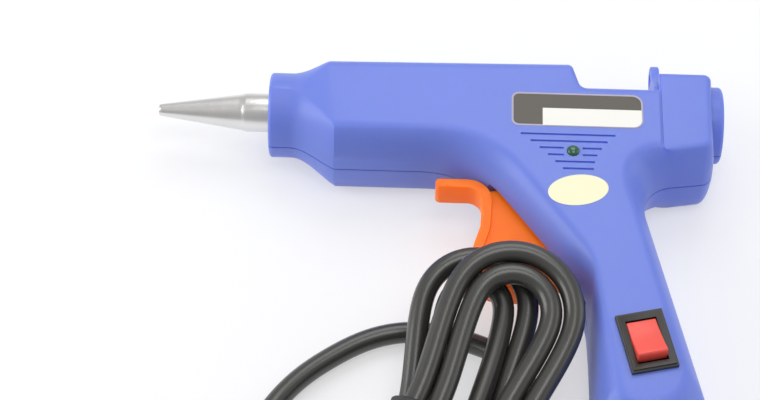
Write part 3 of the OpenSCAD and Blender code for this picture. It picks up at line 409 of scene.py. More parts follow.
    @staticmethod
    def moved(data: MeshData, offset: Sequence[float], axis: Axis) -> MeshData:
        """Turns a mesh made along X onto another axis and moves it.

        Args:
            data: The mesh.
            offset: The shift.
            axis: The axis that X comes to lie on.

        Returns:
            The moved mesh.
        """
        if axis is Axis.Y:
            turned = [(y, x, -z) for x, y, z in data[0]]
        else:
            turned = [(y, z, x) for x, y, z in data[0]]
        return [tuple(a + b for a, b in zip(p, offset)) for p in turned], data[1]

    @staticmethod
    def cut(obj: bpy.types.Object, cutters: MeshData) -> None:
        """Takes the cutters' room out of an object.

        Args:
            obj: The object that is cut.
            cutters: Closed meshes in the row's frame.
        """
        tool = MeshKit.make("cutter", cutters)
        modifier = obj.modifiers.new("cut", "BOOLEAN")
        modifier.operation = "DIFFERENCE"
        modifier.solver = "EXACT"
        modifier.object = tool
        MeshKit.bake(obj)
        bpy.data.objects.remove(tool)

    @staticmethod
    def join(obj: bpy.types.Object, extra: MeshData) -> None:
        """Adds meshes to an object's own mesh.

        Args:
            obj: The object.
            extra: Closed meshes in the row's frame.
        """
        other = MeshKit.make("extra", extra)
        bm = bmesh.new()
        bm.from_mesh(obj.data)
        bm.from_mesh(other.data)
        bm.to_mesh(obj.data)
        bm.free()
        bpy.data.objects.remove(other)

    @staticmethod
    def bake(obj: bpy.types.Object) -> None:
        """Turns an object's modifiers into its mesh.

        Args:
            obj: The object.
        """
        graph = bpy.context.evaluated_depsgraph_get()
        baked = bpy.data.meshes.new_from_object(obj.evaluated_get(graph))
        old = obj.data
        obj.modifiers.clear()
        obj.data = baked
        bpy.data.meshes.remove(old)

    @staticmethod
    def bevel(obj: bpy.types.Object, width: float) -> None:
        """Rounds an object's sharp edges.

        Args:
            obj: The object.
            width: The bevel's width in millimetres.
        """
        modifier = obj.modifiers.new("round", "BEVEL")
        modifier.width = width * MM
        modifier.segments = MeshKit.BEVEL_STEPS
        modifier.limit_method = "ANGLE"
        modifier.angle_limit = math.radians(MeshKit.BEVEL_ANGLE)
        modifier.use_clamp_overlap = True
        MeshKit.bake(obj)

    @staticmethod
    def rounded_copy(node: str, width: float) -> bpy.types.Object:
        """Copies a CAD node with rounded edges.

        Args:
            node: The CAD node.
            width: Width of the rounding in millimetres, 0 for none.

        Returns:
            The copy.
        """
        mesh = frame["nodes"][node].data.copy()
        bm = bmesh.new()
        bm.from_mesh(mesh)
        bmesh.ops.remove_doubles(bm, verts=bm.verts, dist=MeshKit.WELD)
        flat = math.radians(MeshKit.FLAT_ANGLE)
        bmesh.ops.dissolve_limit(bm, angle_limit=flat, verts=bm.verts, edges=bm.edges)
        bm.to_mesh(mesh)
        bm.free()
        mesh.materials.clear()
        obj = MeshKit.link(f"{node}_rounded", mesh)
        if width > 0:
            MeshKit.bevel(obj, width)
        MeshKit.shade(obj, MeshKit.BEVEL_SHADE)
        return obj


class NodeKit:
    """Short ways to write shader nodes."""

    @staticmethod
    def fill(tree: bpy.types.NodeTree, node: bpy.types.Node, values: Dict[object, SocketValue]) -> None:
        """Sets or links a node's inputs.

        Args:
            tree: The node's tree.
            node: The node.
            values: For each input its value, or the socket that feeds it.
        """
        for socket, value in values.items():
            if isinstance(value, bpy.types.NodeSocket):
                tree.links.new(value, node.inputs[socket])
            else:
                node.inputs[socket].default_value = value

    @staticmethod
    def add(
        tree: bpy.types.NodeTree, kind: str, values: Dict[object, SocketValue], **options: object
    ) -> bpy.types.Node:
        """Adds a shader node.

        Args:
            tree: The tree that it joins.
            kind: Its type, without the word that all shader nodes start with.
            values: For each input its value, or the socket that feeds it.
            options: The node's own settings.

        Returns:
            The node.
        """
        node = tree.nodes.new(f"ShaderNode{kind}")
        for name, option in options.items():
            setattr(node, name, option)
        NodeKit.fill(tree, node, values)
        return node

    @staticmethod
    def reckon(
        tree: bpy.types.NodeTree, operation: str, *values: SocketValue, clamp: bool = False
    ) -> bpy.types.NodeSocket:
        """Adds a Math node.

        Args:
            tree: The tree that it joins.
            operation: What it does.
            values: Its inputs in order.
            clamp: True to keep the result from 0 to 1.

        Returns:
            The socket with its result.
        """
        inputs = dict(enumerate(values))
        return NodeKit.add(tree, "Math", inputs, operation=operation, use_clamp=clamp).outputs[0]

    @staticmethod
    def where(tree: bpy.types.NodeTree) -> bpy.types.NodeSocket:
        """Adds the socket that gives the place on the object."""
        return NodeKit.add(tree, "TexCoord", {}).outputs["Object"]


class EffectLibrary:
    """Node groups that the finishes share."""

    DIMPLE_SCALE = 240.0
    DIMPLE_SHARE = 0.35
    GRAIN_DETAIL = 3.0
    GRAIN_ROUGHNESS = 0.6
    MOTTLE_DETAIL = 5.0
    NOISE_MIDDLE = 0.5
    RING_DETAIL = 4.0

    def __init__(self) -> None:
        """Makes the groups once."""
        self.mottle = self._mottle()
        self.by_pattern = {Pattern.GRAIN: self._grain(), Pattern.TURNED: self._turned()}

    @staticmethod
    def _group(
        name: str, inputs: Dict[str, str], outputs: Dict[str, str]
    ) -> Tuple[bpy.types.NodeTree, bpy.types.NodeOutputs, bpy.types.Node]:
        """Makes an empty group with its sockets.

        Args:
            name: The group's name.
            inputs: Kind of each input.
            outputs: Kind of each output.

        Returns:
            The group, the sockets with its inputs, and the node that takes its outputs.
        """
        group = bpy.data.node_groups.new(name, "ShaderNodeTree")
        for way, sockets in (("INPUT", inputs), ("OUTPUT", outputs)):
            for label, kind in sockets.items():
                group.interface.new_socket(label, in_out=way, socket_type=f"NodeSocket{kind}")
        return group, group.nodes.new("NodeGroupInput").outputs, group.nodes.new("NodeGroupOutput")

    def _grain(self) -> bpy.types.NodeTree:
        """Fine moulded grain with a few larger dimples.

        Returns:
            A group with the output Height.
        """
        g, given, out = self._group("fine_grain", {"Scale": "Float"}, {"Height": "Float"})
        where = NodeKit.where(g)
        fine = NodeKit.add(g, "TexNoise", {
            "Vector": where, "Scale": given["Scale"],
            "Detail": self.GRAIN_DETAIL, "Roughness": self.GRAIN_ROUGHNESS,
        }).outputs["Fac"]
        dimples = NodeKit.add(g, "TexNoise", {"Vector": where, "Scale": self.DIMPLE_SCALE}).outputs["Fac"]
        both = NodeKit.reckon(g, "MULTIPLY_ADD", dimples, self.DIMPLE_SHARE, fine)
        NodeKit.fill(g, out, {"Height": both})
        return g

    def _mottle(self) -> bpy.types.NodeTree:
        """Slow change of colour and roughness over a surface.

        Returns:
            A group with the outputs Colour and Roughness.
        """
        g, given, out = self._group(
            "slow_mottle",
            {"Colour": "Color", "Roughness": "Float", "Amount": "Float", "Scale": "Float"},
            {"Colour": "Color", "Roughness": "Float"},
        )
        noise = NodeKit.add(g, "TexNoise", {
            "Vector": NodeKit.where(g), "Scale": given["Scale"], "Detail": self.MOTTLE_DETAIL,
        }).outputs["Fac"]
        centred = NodeKit.reckon(g, "SUBTRACT", noise, self.NOISE_MIDDLE)
        swing = NodeKit.reckon(g, "MULTIPLY", centred, given["Amount"])
        value = NodeKit.reckon(g, "ADD", swing, 1.0)
        tint = NodeKit.add(g, "HueSaturation", {"Value": value, "Color": given["Colour"]})
        rough = NodeKit.reckon(g, "ADD", swing, given["Roughness"])
        NodeKit.fill(g, out, {"Colour": tint.outputs["Color"], "Roughness": rough})
        return g

    def _turned(self) -> bpy.types.NodeTree:
        """Fine rings left by a lathe round the X axis.

        Returns:
            A group with the output Height.
        """
        g, given, out = self._group("lathe_rings", {"Scale": "Float"}, {"Height": "Float"})
        split = NodeKit.add(g, "SeparateXYZ", {"Vector": NodeKit.where(g)})
        along = NodeKit.reckon(g, "MULTIPLY", split.outputs["X"], given["Scale"])
        values = {"W": along, "Scale": 1.0, "Detail": self.RING_DETAIL}
        noise = NodeKit.add(g, "TexNoise", values, noise_dimensions="1D")
        NodeKit.fill(g, out, {"Height": noise.outputs["Fac"]})
        return g


@dataclass(frozen=True)
class Finish:
    """One finish: its colour, gloss and surface effect, and any painted light glow."""

    name: str
    slot: str
    colour: Colour
    roughness: float
    metallic: float = 0.0
    coat: float = 0.0
    coat_roughness: float = 0.12
    subsurface: float = 0.0
    scatter: float = 0.002
    scatter_colour: Colour = (1.0, 0.2, 0.1)
    specular: float = 0.5
    # Emission in the finish's own colour: painted light that brightens faces lying in shade.
    painted_glow: float = 0.0
    pattern: Pattern = Pattern.PLAIN
    pattern_scale: float = 2600.0
    bump: float = 0.0
    bump_deep: float = 0.0001
    mottle: float = 0.06
    mottle_scale: float = 60.0

    def build(self, effects: EffectLibrary) -> bpy.types.Material:
        """Makes the finish's material.

        Args:
            effects: The shared node groups.

        Returns:
            The material.
        """
        material = bpy.data.materials.new(self.name)
        material.use_nodes = True
        tree = material.node_tree
        shader = tree.nodes["Principled BSDF"]
        colour = (*self.colour, 1.0)
        mottled = {
            "Colour": colour, "Roughness": self.roughness,
            "Amount": self.mottle, "Scale": self.mottle_scale,
        }
        mottle = NodeKit.add(tree, "Group", mottled, node_tree=effects.mottle)
        NodeKit.fill(tree, shader, {
            "Base Color": mottle.outputs["Colour"],
            "Roughness": mottle.outputs["Roughness"],
            "Metallic": self.metallic,
            "Coat Weight": self.coat,
            "Coat Roughness": self.coat_roughness,
            "Subsurface Weight": self.subsurface,
            "Subsurface Scale": self.scatter,
            "Subsurface Radius": self.scatter_colour,
            "Specular IOR Level": self.specular,
            # Emission here is painted light: it lifts the shaded faces of finishes that carry it.
            "Emission Color": colour,
            "Emission Strength": self.painted_glow,
        })
        if self.pattern is not Pattern.PLAIN:
            group = effects.by_pattern[self.pattern]
            effect = NodeKit.add(tree, "Group", {"Scale": self.pattern_scale}, node_tree=group)
            bump = NodeKit.add(tree, "Bump", {
                "Height": effect.outputs["Height"], "Strength": self.bump, "Distance": self.bump_deep,
            })
            NodeKit.fill(tree, shader, {"Normal": bump.outputs["Normal"]})
        return material


class FinishLibrary:
    """The gun's finishes, by name, and which CAD slot takes which."""

    FINISHES: Tuple[Finish, ...] = (
        Finish("blue_shell", "shell_blue", (0.160, 0.232, 0.745), 0.42, coat=0.05, subsurface=0.3,
               scatter=0.004, scatter_colour=(0.12, 0.3, 1.0), pattern=Pattern.GRAIN, bump=0.10),
        # The trigger's emission is painted light: it brightens its orange faces that lie in shade.
        Finish("orange_trigger", "trigger_orange", (0.98, 0.185, 0.010), 0.42, subsurface=0.8,
               scatter=0.005, specular=0.3, painted_glow=0.19, pattern=Pattern.GRAIN, pattern_scale=1800.0,
               bump=0.05),
        Finish("turned_steel", "steel", (0.78, 0.77, 0.76), 0.30, metallic=1.0, pattern=Pattern.TURNED,
               bump=0.35, mottle=0.10, mottle_scale=180.0),
        Finish("cast_alloy", "chamber_alloy", (0.55, 0.55, 0.56), 0.45, metallic=1.0,
               pattern=Pattern.GRAIN, bump=0.3),
        Finish("mica_ring", "insulator", (0.72, 0.62, 0.46), 0.7),
        Finish("fired_ceramic", "ceramic", (0.70, 0.48, 0.34), 0.75),
        Finish("red_silicone", "silicone", (0.62, 0.09, 0.04), 0.55, subsurface=0.1),
        Finish("grey_nylon", "feed_plastic", (0.12, 0.12, 0.125), 0.5, pattern=Pattern.GRAIN, bump=0.1),
        Finish("black_switch", "switch_black", (0.034, 0.032, 0.028), 0.38,
               pattern=Pattern.GRAIN, bump=0.08),
        Finish("red_rocker", "rocker_red", (0.92, 0.10, 0.075), 0.36, coat=0.1, subsurface=0.15),
        Finish("plain_brass", "brass", (0.72, 0.52, 0.22), 0.35, metallic=1.0),
        Finish("green_lens", "lamp_green", (0.012, 0.105, 0.045), 0.16, coat=0.6),
        Finish("resin_board", "board", (0.45, 0.30, 0.12), 0.6),
        Finish("black_cord", "cord_black", (0.034, 0.033, 0.029), 0.33, coat=0.25, specular=0.7,
               pattern=Pattern.GRAIN, pattern_scale=900.0, bump=0.06, mottle=0.12),
        Finish("grey_tie", "tie_grey", (0.035, 0.035, 0.036), 0.55, pattern=Pattern.GRAIN, bump=0.2),
    )
    EXTRA: Tuple[Finish, ...] = (
        Finish("black_plug", "cord_black", (0.026, 0.025, 0.024), 0.5, specular=0.35,
               pattern=Pattern.GRAIN, pattern_scale=1400.0, bump=0.12),
        Finish("label_dark", "switch_black", (0.088, 0.076, 0.060), 0.4),
        Finish("label_white", "insulator", (0.88, 0.87, 0.82), 0.4),
        Finish("label_rim", "insulator", (0.47, 0.43, 0.54), 0.5),
        Finish("sticker_cream", "insulator", (0.93, 0.90, 0.62), 0.45),
    )

    def __init__(self) -> None:
        """Builds every material once."""
        effects = EffectLibrary()
        every = self.FINISHES + self.EXTRA
        self.by_name: Dict[str, bpy.types.Material] = {f.name: f.build(effects) for f in every}
        self.slot_of: Dict[str, str] = {f.name: f.slot for f in every}
        self.by_slot: Dict[str, str] = {f.slot: f.name for f in self.FINISHES}

    def wear(self, obj: bpy.types.Object, name: str) -> None:
        """Gives a finish to an object.

        Args:
            obj: The object.
            name: The finish's name.
        """
        obj.data.materials.clear()
        obj.data.materials.append(self.by_name[name])

    def wear_frame(self) -> None:
        """Gives each CAD node the finish of its slot."""
        for part in frame["record"]["subparts"]:
            node = frame["nodes"][part["node"]]
            node.data.materials.clear()
            node.data.materials.append(self.by_name[self.by_slot[part["material_slot"]]])


@dataclass
class SubAssembly:
    """What every sub-assembly is made with."""

    plan: Plan
    finishes: FinishLibrary

    def settle(
        self, obj: bpy.types.Object, finish: str, *nodes: str, body: str = "gun"
    ) -> bpy.types.Object:
        """Puts a piece on its body, in the place of its CAD nodes, and dresses it.

        Args:
            obj: The piece.
            finish: Its finish.
            nodes: CAD nodes that it stands for.
            body: The body that it rides on.

        Returns:
            The piece.
        """
        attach(obj, body)
        if nodes:
            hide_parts(*nodes)
        self.finishes.wear(obj, finish)
        return obj

    def piece(self, name: str, data: MeshData, smooth: float, finish: str, *nodes: str) -> bpy.types.Object:
        """Makes a finished piece of the gun's fixed body.

        Args:
            name: The piece's name.
            data: Its mesh in the gun's frame.
            smooth: Edges sharper than this angle in degrees stay sharp.
            finish: Its finish.
            nodes: CAD nodes that it stands for.

        Returns:
            The piece.
        """
        return self.settle(MeshKit.make(name, self.plan.placed(data), smooth), finish, *nodes)


class OutlineLoft:
    """The body's half surface, swept from one outline like the CAD part, with finer steps."""

    FINE = 4
    ROWS = (0.03, 0.06, 0.12, 0.2, 0.29, 0.38, 0.48, 0.58, 0.68, 0.78, 0.86)
    LAST_ROW = 0.9
    EDGE_ROWS = (0.0, 0.25, 0.5, 0.75, 1.0)
    INNER_ROWS = (0.0, 0.2, 0.4, 0.6, 0.8, 1.0)
    FULL = {Side.LEFT: 0.82, Side.RIGHT: 0.95}
    NOSE_R = 1.0
    NOSE_STEPS = 6
    COLLAR_STEPS = 5
    FLARE_STEPS = 24
    FLARE_EASE = 0.8
    COLLAR_HEAD = 0.6
    LEAST_BEND = 0.3
    SEAM = 0.8
    SEAM_GAP = 0.34
    SEAM_RIM = 0.06
    SOFT_EDGE = 1.2
    LONG_ROW = 5
    LONG_STEPS = 10
    SPREAD = 3.4
    LEAST_SPREAD = 0.02
    LEAST_STEP = 1e-4
    FADE = 3.5
    SPREAD_FROM = (1.2, -8.0)
    SPREAD_TO = (-5.0, 1.5)

    def __init__(self, plan: Plan) -> None:
        """Keeps the plan and its stations along the collar and flare.

        Args:
            plan: The gun's sizes.
        """
        self.plan = plan
        self.side = Side.LEFT
        self.nose_end = plan.collar_x + self.NOSE_R
        turns = np.linspace(0.0, math.pi / 2, self.NOSE_STEPS + 1)
        nose = [self.nose_end - self.NOSE_R * math.cos(a) for a in turns]
        collar = list(np.linspace(self.nose_end, plan.collar_l, self.COLLAR_STEPS + 1)[1:])
        flare = list(np.linspace(plan.collar_l, plan.barrel_x, self.FLARE_STEPS + 1)[1:])
        self.stations = nose + collar + flare

    @staticmethod
    def _fillet(a: np.ndarray, p: np.ndarray, b: np.ndarray, r: float, n: int) -> List[np.ndarray]:
        """Rounds a corner with an arc.

        Args:
            a: Point before the corner.
            p: The corner.
            b: Point after the corner.
            r: The arc's radius.
            n: Steps along it.

        Returns:
            The arc's points.
        """
        u, v = unit(a - p), unit(b - p)
        half = math.acos(max(-1.0, min(1.0, float(u @ v)))) / 2
        reach = r / math.tan(half)
        middle = p + unit(u + v) * r / math.sin(half)
        s, e = p + u * reach - middle, p + v * reach - middle
        turn = math.copysign(180 - 2 * math.degrees(half), s[0] * e[1] - s[1] * e[0])
        return [middle + rotate2(s, turn * k / n) for k in range(n + 1)]

    def _path(self, outline: Sequence[Point2], radii: Sequence[float], g: float) -> List[np.ndarray]:
        """Rounds an outline after moving it inwards.

        Args:
            outline: The outline's corners with both ends.
            radii: Radius of each inner corner.
            g: Distance moved inwards.

        Returns:
            The rounded path without its ends.
        """
        points = np.array(outline)
        last = len(points) - 1
        moved = [points[0] - np.array([0.0, g])]
        bends = []
        for i in range(1, last):
            d1, d2 = points[i] - points[i - 1], points[i + 1] - points[i]
            n1, n2 = unit(np.array([d1[1], -d1[0]])), unit(np.array([d2[1], -d2[0]]))
            moved.append(points[i] + g * (n1 + n2) / (1 + float(n1 @ n2)))
            outer = d1[0] * d2[1] - d1[1] * d2[0] < 0
            bends.append(max(radii[i - 1] - g, self.LEAST_BEND) if outer else radii[i - 1] + g)
        moved.append(points[last] + np.array([0.0, g]))
        out: List[np.ndarray] = []
        for i, corner in enumerate(self.plan.corners()):
            arc = self._fillet(*moved[i:i + 3], bends[i], corner.steps * self.FINE)
            if i == self.LONG_ROW + 1:
                out.extend(np.linspace(out[-1], arc[0], self.LONG_STEPS + 2)[1:-1])
            out.extend(arc)
        return out

    def _front(self, x: float, g: float, up: bool) -> Column:
        """One column of the collar or flare.

        Args:
            x: Station.
            g: Distance inwards.
            up: True for the top, False for the underside.

        Returns:
            The column.
        """
        p = self.plan
        flare, full, side = (p.flare_top, p.top_front, 1.0) if up else (p.flare_l, p.barrel_bottom, -1.0)
        share = min(1.0, max(0.0, x - p.collar_l) / flare)
        s = ease(self.FLARE_EASE * share) / ease(self.FLARE_EASE)
        short = max(0.0, self.nose_end - x)
        nose = self.NOSE_R - math.sqrt(max(0.0, self.NOSE_R ** 2 - short ** 2)) if g == 0 else 0.0
        r = p.collar_r - g - nose
        inner = full - p.edge - g / 2
        foot = np.array([x, side * (r + (full - g - r) * s)])
        head = np.array([x, side * (self.COLLAR_HEAD + (inner - self.COLLAR_HEAD) * s)])
        soft = head - np.array([0.0, side * self.SOFT_EDGE * s])
        return Column(foot, head, r + (p.half_t - g - r) * s, soft)

    def _columns(self, g: float) -> List[Column]:
        """All columns of one surface, in order round the body.

        Args:
            g: Distance inwards.

        Returns:
            The columns.
        """
        p, rows = self.plan, self.plan.corners()
        start = p.front_wall if g > 0 else p.collar_x
        front = self.stations[0]
        xs = [start + (p.barrel_x - start) * (x - front) / (p.barrel_x - front) for x in self.stations]
        line = [(p.barrel_x, p.top_front), *[(c.x, c.y) for c in rows], (p.barrel_x, -p.barrel_bottom)]
        flat = [(p.barrel_x, p.top_front - p.edge)]
        flat += [(c.x + c.shift_x, c.y + c.shift_y) for c in rows]
        flat.append((p.barrel_x, p.edge - p.barrel_bottom))
        feet = self._path(line, [c.r for c in rows], g)
        heads = self._path(flat, [c.flat_r for c in rows], g / 2)
        soft = self._path(flat, [c.flat_r for c in rows], g / 2 + self.SOFT_EDGE)
        body = [Column(a, b, p.half_t - g, c) for a, b, c in zip(feet, heads, soft)]
        return [self._front(x, g, True) for x in xs] + body + [self._front(x, g, False) for x in xs[::-1]]

    def _bezier(self, col: Column, u: float) -> Point3:
        """Point up one column's curve.

        Args:
            col: The column.
            u: Share of the way from foot to head.

        Returns:
            The point.
        """
        b = 2 * u * (1 - u) * self.FULL[self.side]
        q = col.head + (col.foot - col.head) * ((1 - u) ** 2 + b)
        return float(q[0]), float(q[1]), col.h * (b + u * u)

    def _outer(self, col: Column) -> List[Point3]:
        """Points up an outer column, from a small seam bevel to a softened edge.

        Args:
            col: The column.

        Returns:
            The points.
        """
        way, gap = unit(col.head - col.foot), self.SEAM_GAP / 2
        low, rim = col.foot + way * self.SEAM, col.foot + way * self.SEAM_RIM
        points = [(*low, 0.0), (*low, gap), (*rim, gap + self.SEAM_RIM)]
        points += [self._bezier(col, u) for u in self.ROWS]
        a = np.array(self._bezier(col, self.LAST_ROW))
        b, c = np.array([*col.head, col.h]), np.array([*col.soft, col.h])
        return points + [tuple((1 - t) ** 2 * a + 2 * t * (1 - t) * b + t * t * c) for t in self.EDGE_ROWS]

    def _soften(self, columns: Sequence[Column], outer: List[List[Point3]]) -> None:
        """Spreads the step under the box's front corner over the side, between the foot and the flat.

        Args:
            columns: The outer columns.
            outer: Their points, changed in place.
        """
        p = self.plan
        low = np.array([p.back_x, -p.box_bottom]) + self.SPREAD_FROM
        high = np.array([p.box_end, -p.box_bottom]) + self.SPREAD_TO
        near = [i for i, c in enumerate(columns) if (low < c.foot).all() and (c.foot < high).all()]
        feet = np.array([columns[i].foot for i in near])
        steps = np.linalg.norm(np.diff(feet, axis=0), axis=1) + self.LEAST_STEP
        away = np.concatenate([[0.0], np.cumsum(steps)])
        room = np.gradient(away)
        fade = np.clip(np.minimum(away, away[-1] - away) / self.FADE, 0.0, 1.0)[:, None]
        for j in range(len(outer[0])):
            row = np.array([outer[i][j] for i in near])
            h = float(min(1.0, row[:, 2].mean() / p.half_t))
            wide = self.SPREAD * 4 * h * (1 - h) + self.LEAST_SPREAD
            weight = np.exp(-0.5 * ((away[:, None] - away[None, :]) / wide) ** 2) * room[None, :]
            row += ((weight @ row) / weight.sum(axis=1)[:, None] - row) * fade
            for i, q in zip(near, row):
                outer[i][j] = tuple(float(v) for v in q)

    def half(self, side: Side) -> MeshData:
        """The hollow half shell as one closed mesh.

        Args:
            side: Which half.

        Returns:
            The mesh in the gun's frame.
        """
        self.side = side
        columns = self._columns(0.0)
        outer = [self._outer(c) for c in columns]
        self._soften(columns, outer)
        inner = [[self._bezier(c, u) for u in self.INNER_ROWS] for c in self._columns(self.plan.wall)]
        points = [p for col in outer + inner for p in col]
        n, front = len(outer), len(self.stations)
        out = np.arange(n * len(outer[0])).reshape(n, -1)
        inn = out.size + np.arange(n * len(inner[0])).reshape(n, -1)
        quads = [
            [out[:-1, :-1], out[1:, :-1], out[1:, 1:], out[:-1, 1:]],
            [inn[:-1, 1:], inn[1:, 1:], inn[1:, :-1], inn[:-1, :-1]],
            [out[:, 0], inn[:, 0], np.roll(inn[:, 0], -1), np.roll(out[:, 0], -1)],
        ]
        for top in (out[:, -1], inn[::-1, -1]):
            down = top[::-1]
            quads.append([top[:front - 1], top[1:front], down[1:front], down[:front - 1]])
        faces = [f for q in quads for f in np.stack(q, axis=-1).reshape(-1, 4).tolist()]
        flat = slice(front - 1, n - front + 1)
        faces += [out[flat, -1].tolist(), inn[flat, -1][::-1].tolist()]
        faces += [[*out[0].tolist(), *out[-1][::-1].tolist()], [*inn[-1].tolist(), *inn[0][::-1].tolist()]]
        if side is Side.RIGHT:
            points = [(x, y, -z) for x, y, z in points]
            faces = [f[::-1] for f in faces]
        return points, faces


@dataclass
class BodyShells(SubAssembly):
    """The two moulded half shells with their openings, boss and hanging tab."""

    switch_w: float = 10.7
    switch_l: float = 15.3
    switch_floor: float = 10.0
    lamp: Point2 = (86.0, -20.6)
    lamp_r: float = 1.75
    lamp_floor: float = 10.5
    lamp_room: float = 2.6
    vent_first: float = 4.1
    vent_pitch: float = 2.3
    vent_w: float = 0.7
    vent_deep: float = 0.55
    crease_w: float = 0.8
    crease_deep: float = 0.5
    nozzle_gap: float = 0.35
    guide_gap: float = 0.05
    guide_soft: float = 0.3
    cord_hole_r: float = 4.05
    past: float = 1.0
    slot_mid: Point2 = (57.4, -30.9)
    slot_r: float = 7.25
    slot_turn: float = 45.0
    slot_steps: int = 4
    slot_half: float = 4.35
    slot_past: float = 0.5
    boss_soft: float = 1.1
    boss_soft_steps: int = 6
    boss_steps: int = 48
    boss_root: float = 2.0
    boss_gap: float = 1.3
    well_r: float = 2.9
    well_wall: float = 0.2
    well_floor: float = 9.0
    well_rim: float = 12.4
    well_bore: float = 0.01
    well_steps: int = 40
    tab_foot: float = 0.6
    tab_flare: float = 7.0
    tab_curve: float = 1.5
    tab_wide: float = 10.0
    tab_root: float = 0.45
    tab_step: float = 0.02
    tab_soft: float = 0.45
    tab_soft_share: float = 0.3
    tab_turn: float = 2.0
    fine: int = 96
    shade: float = 28.0

    VENTS = ((-14.4, 11.7), (-11.7, 9.5), (-9.2, 7.9), (-6.9, 6.6), (-4.9, 5.9), (-2.9, 5.5))
    SLOT = ((71.0, -25.65), (91.3, -53.969), (93.3, -63.969), (84.3, -63.969), (57.5, -31.4))
    SCREWS = ((61.5, -10.4), (94.0, -34.0), (100.0, -66.0), (119.0, -13.2))

    def build(self) -> List[bpy.types.Object]:
        """Makes both shells.

        Returns:
            The shells' objects.
        """
        loft = OutlineLoft(self.plan)
        made = []
        for side, node in ((Side.LEFT, "left_shell"), (Side.RIGHT, "right_shell")):
            shell = MeshKit.make(f"{node}_fine", self.plan.placed(loft.half(side)), self.shade)
            MeshKit.cut(shell, self.plan.placed(self._openings(side)))
            MeshKit.join(shell, self.plan.placed(self._additions(side)))
            MeshKit.shade(shell, self.shade)
            made.append(self.settle(shell, "blue_shell", node))
        return made

    def _openings(self, side: Side) -> MeshData:
        """Rooms cut out of a shell.

        Args:
            side: Which half.

        Returns:
            Closed meshes in the gun's frame.
        """
        p, over = self.plan, self.past
        turns = np.linspace(0.0, -self.slot_turn, self.slot_steps + 1)
        slot = [tuple(self.slot_mid + rotate2((0.0, self.slot_r), a)) for a in turns]
        deep = sorted((-self.slot_past * side.value, self.slot_half * side.value))
        mouth = MeshKit.rod(self.cord_hole_r, -over, p.wall + over)
        cuts = [
            MeshKit.rod(p.nozzle_r + self.nozzle_gap, -over, p.front_wall + over, self.fine),
            MeshKit.rod(p.guide_r + self.guide_gap, p.box_end - p.wall - over, p.box_end + over, self.fine),
            MeshKit.prism([*slot, *self.SLOT], *deep),
            MeshKit.moved(mouth, (p.cord_x, -p.handle_h, 0.0), Axis.Y),
        ]
        if side is Side.LEFT:
            return MeshKit.merge(cuts + self._face_openings())
        well = MeshKit.rod(self.well_r, -p.half_t - over, -self.well_floor)
        return MeshKit.merge(cuts + [MeshKit.moved(well, (x, y, 0.0), Axis.Z) for x, y in self.SCREWS])

    def _face_openings(self) -> List[MeshData]:
        """Switch window, lamp hole, crease and vents in the left side.

        Returns:
            Closed meshes in the gun's frame.
        """
        p = self.plan
        top = p.half_t + self.past
        w, l, lamp_x, lamp_y = self.switch_w / 2, self.switch_l / 2, *self.lamp
        window = [tuple(p.switch_at + rotate2(q, p.lean)) for q in ((-w, -l), (w, -l), (w, l), (-w, l))]
        crease, deep = self.crease_w / 2, p.half_t - self.crease_deep
        cuts = [
            MeshKit.prism(window, self.switch_floor, top),
            MeshKit.moved(MeshKit.rod(self.lamp_r, self.lamp_floor, top), (lamp_x, lamp_y, 0.0), Axis.Z),
            MeshKit.box((p.box_x - crease, -p.box_bottom, deep), (p.box_x + crease, p.box_top, top)),
        ]
        for i, (a, b) in enumerate(self.VENTS):
            y = -p.barrel_bottom + self.vent_first - i * self.vent_pitch
            near = abs(y - lamp_y) < self.lamp_room
            for x0, x1 in ((a, -self.lamp_room), (self.lamp_room, b)) if near else ((a, b),):
                low = (lamp_x + x0, y - self.vent_w / 2, p.half_t - self.vent_deep)
                cuts.append(MeshKit.box(low, (lamp_x + x1, y + self.vent_w / 2, top)))
        return cuts

    def _additions(self, side: Side) -> MeshData:
        """Boss, tab and screw wells that stand on a shell.

        Args:
            side: Which half.

        Returns:
            Closed meshes in the gun's frame.
        """
        p, soft = self.plan, self.boss_soft
        root, bore = p.box_end - self.boss_root, p.guide_r + self.guide_gap
        x, r = p.tail_x - soft, p.boss_r - soft
        ring = [(root, bore), (root, p.boss_r)]
        for a in np.linspace(0.0, math.pi / 2, self.boss_soft_steps + 1):
            ring.append((x + soft * math.sin(a), r + soft * math.cos(a)))
        ring += [(p.tail_x, bore + self.guide_soft), (p.tail_x - self.guide_soft, bore)]
        start = self.boss_gap if side is Side.LEFT else 180.0 + self.boss_gap
        boss = MeshKit.lathe(ring, self.boss_steps, start, 180.0 - 2 * self.boss_gap)
        if side is Side.LEFT:
            return MeshKit.merge([boss, self._tab()])
        floor, rim = -self.well_floor, -self.well_rim
        inner, outer = self.well_r, self.well_r + self.well_wall
        section = ((floor, self.well_bore), (floor, inner), (rim, inner), (rim, outer), (0.0, outer),
                   (0.0, self.well_bore))
        well = MeshKit.lathe(section, self.well_steps)
        return MeshKit.merge([boss] + [MeshKit.moved(well, (x, y, 0.0), Axis.Z) for x, y in self.SCREWS])

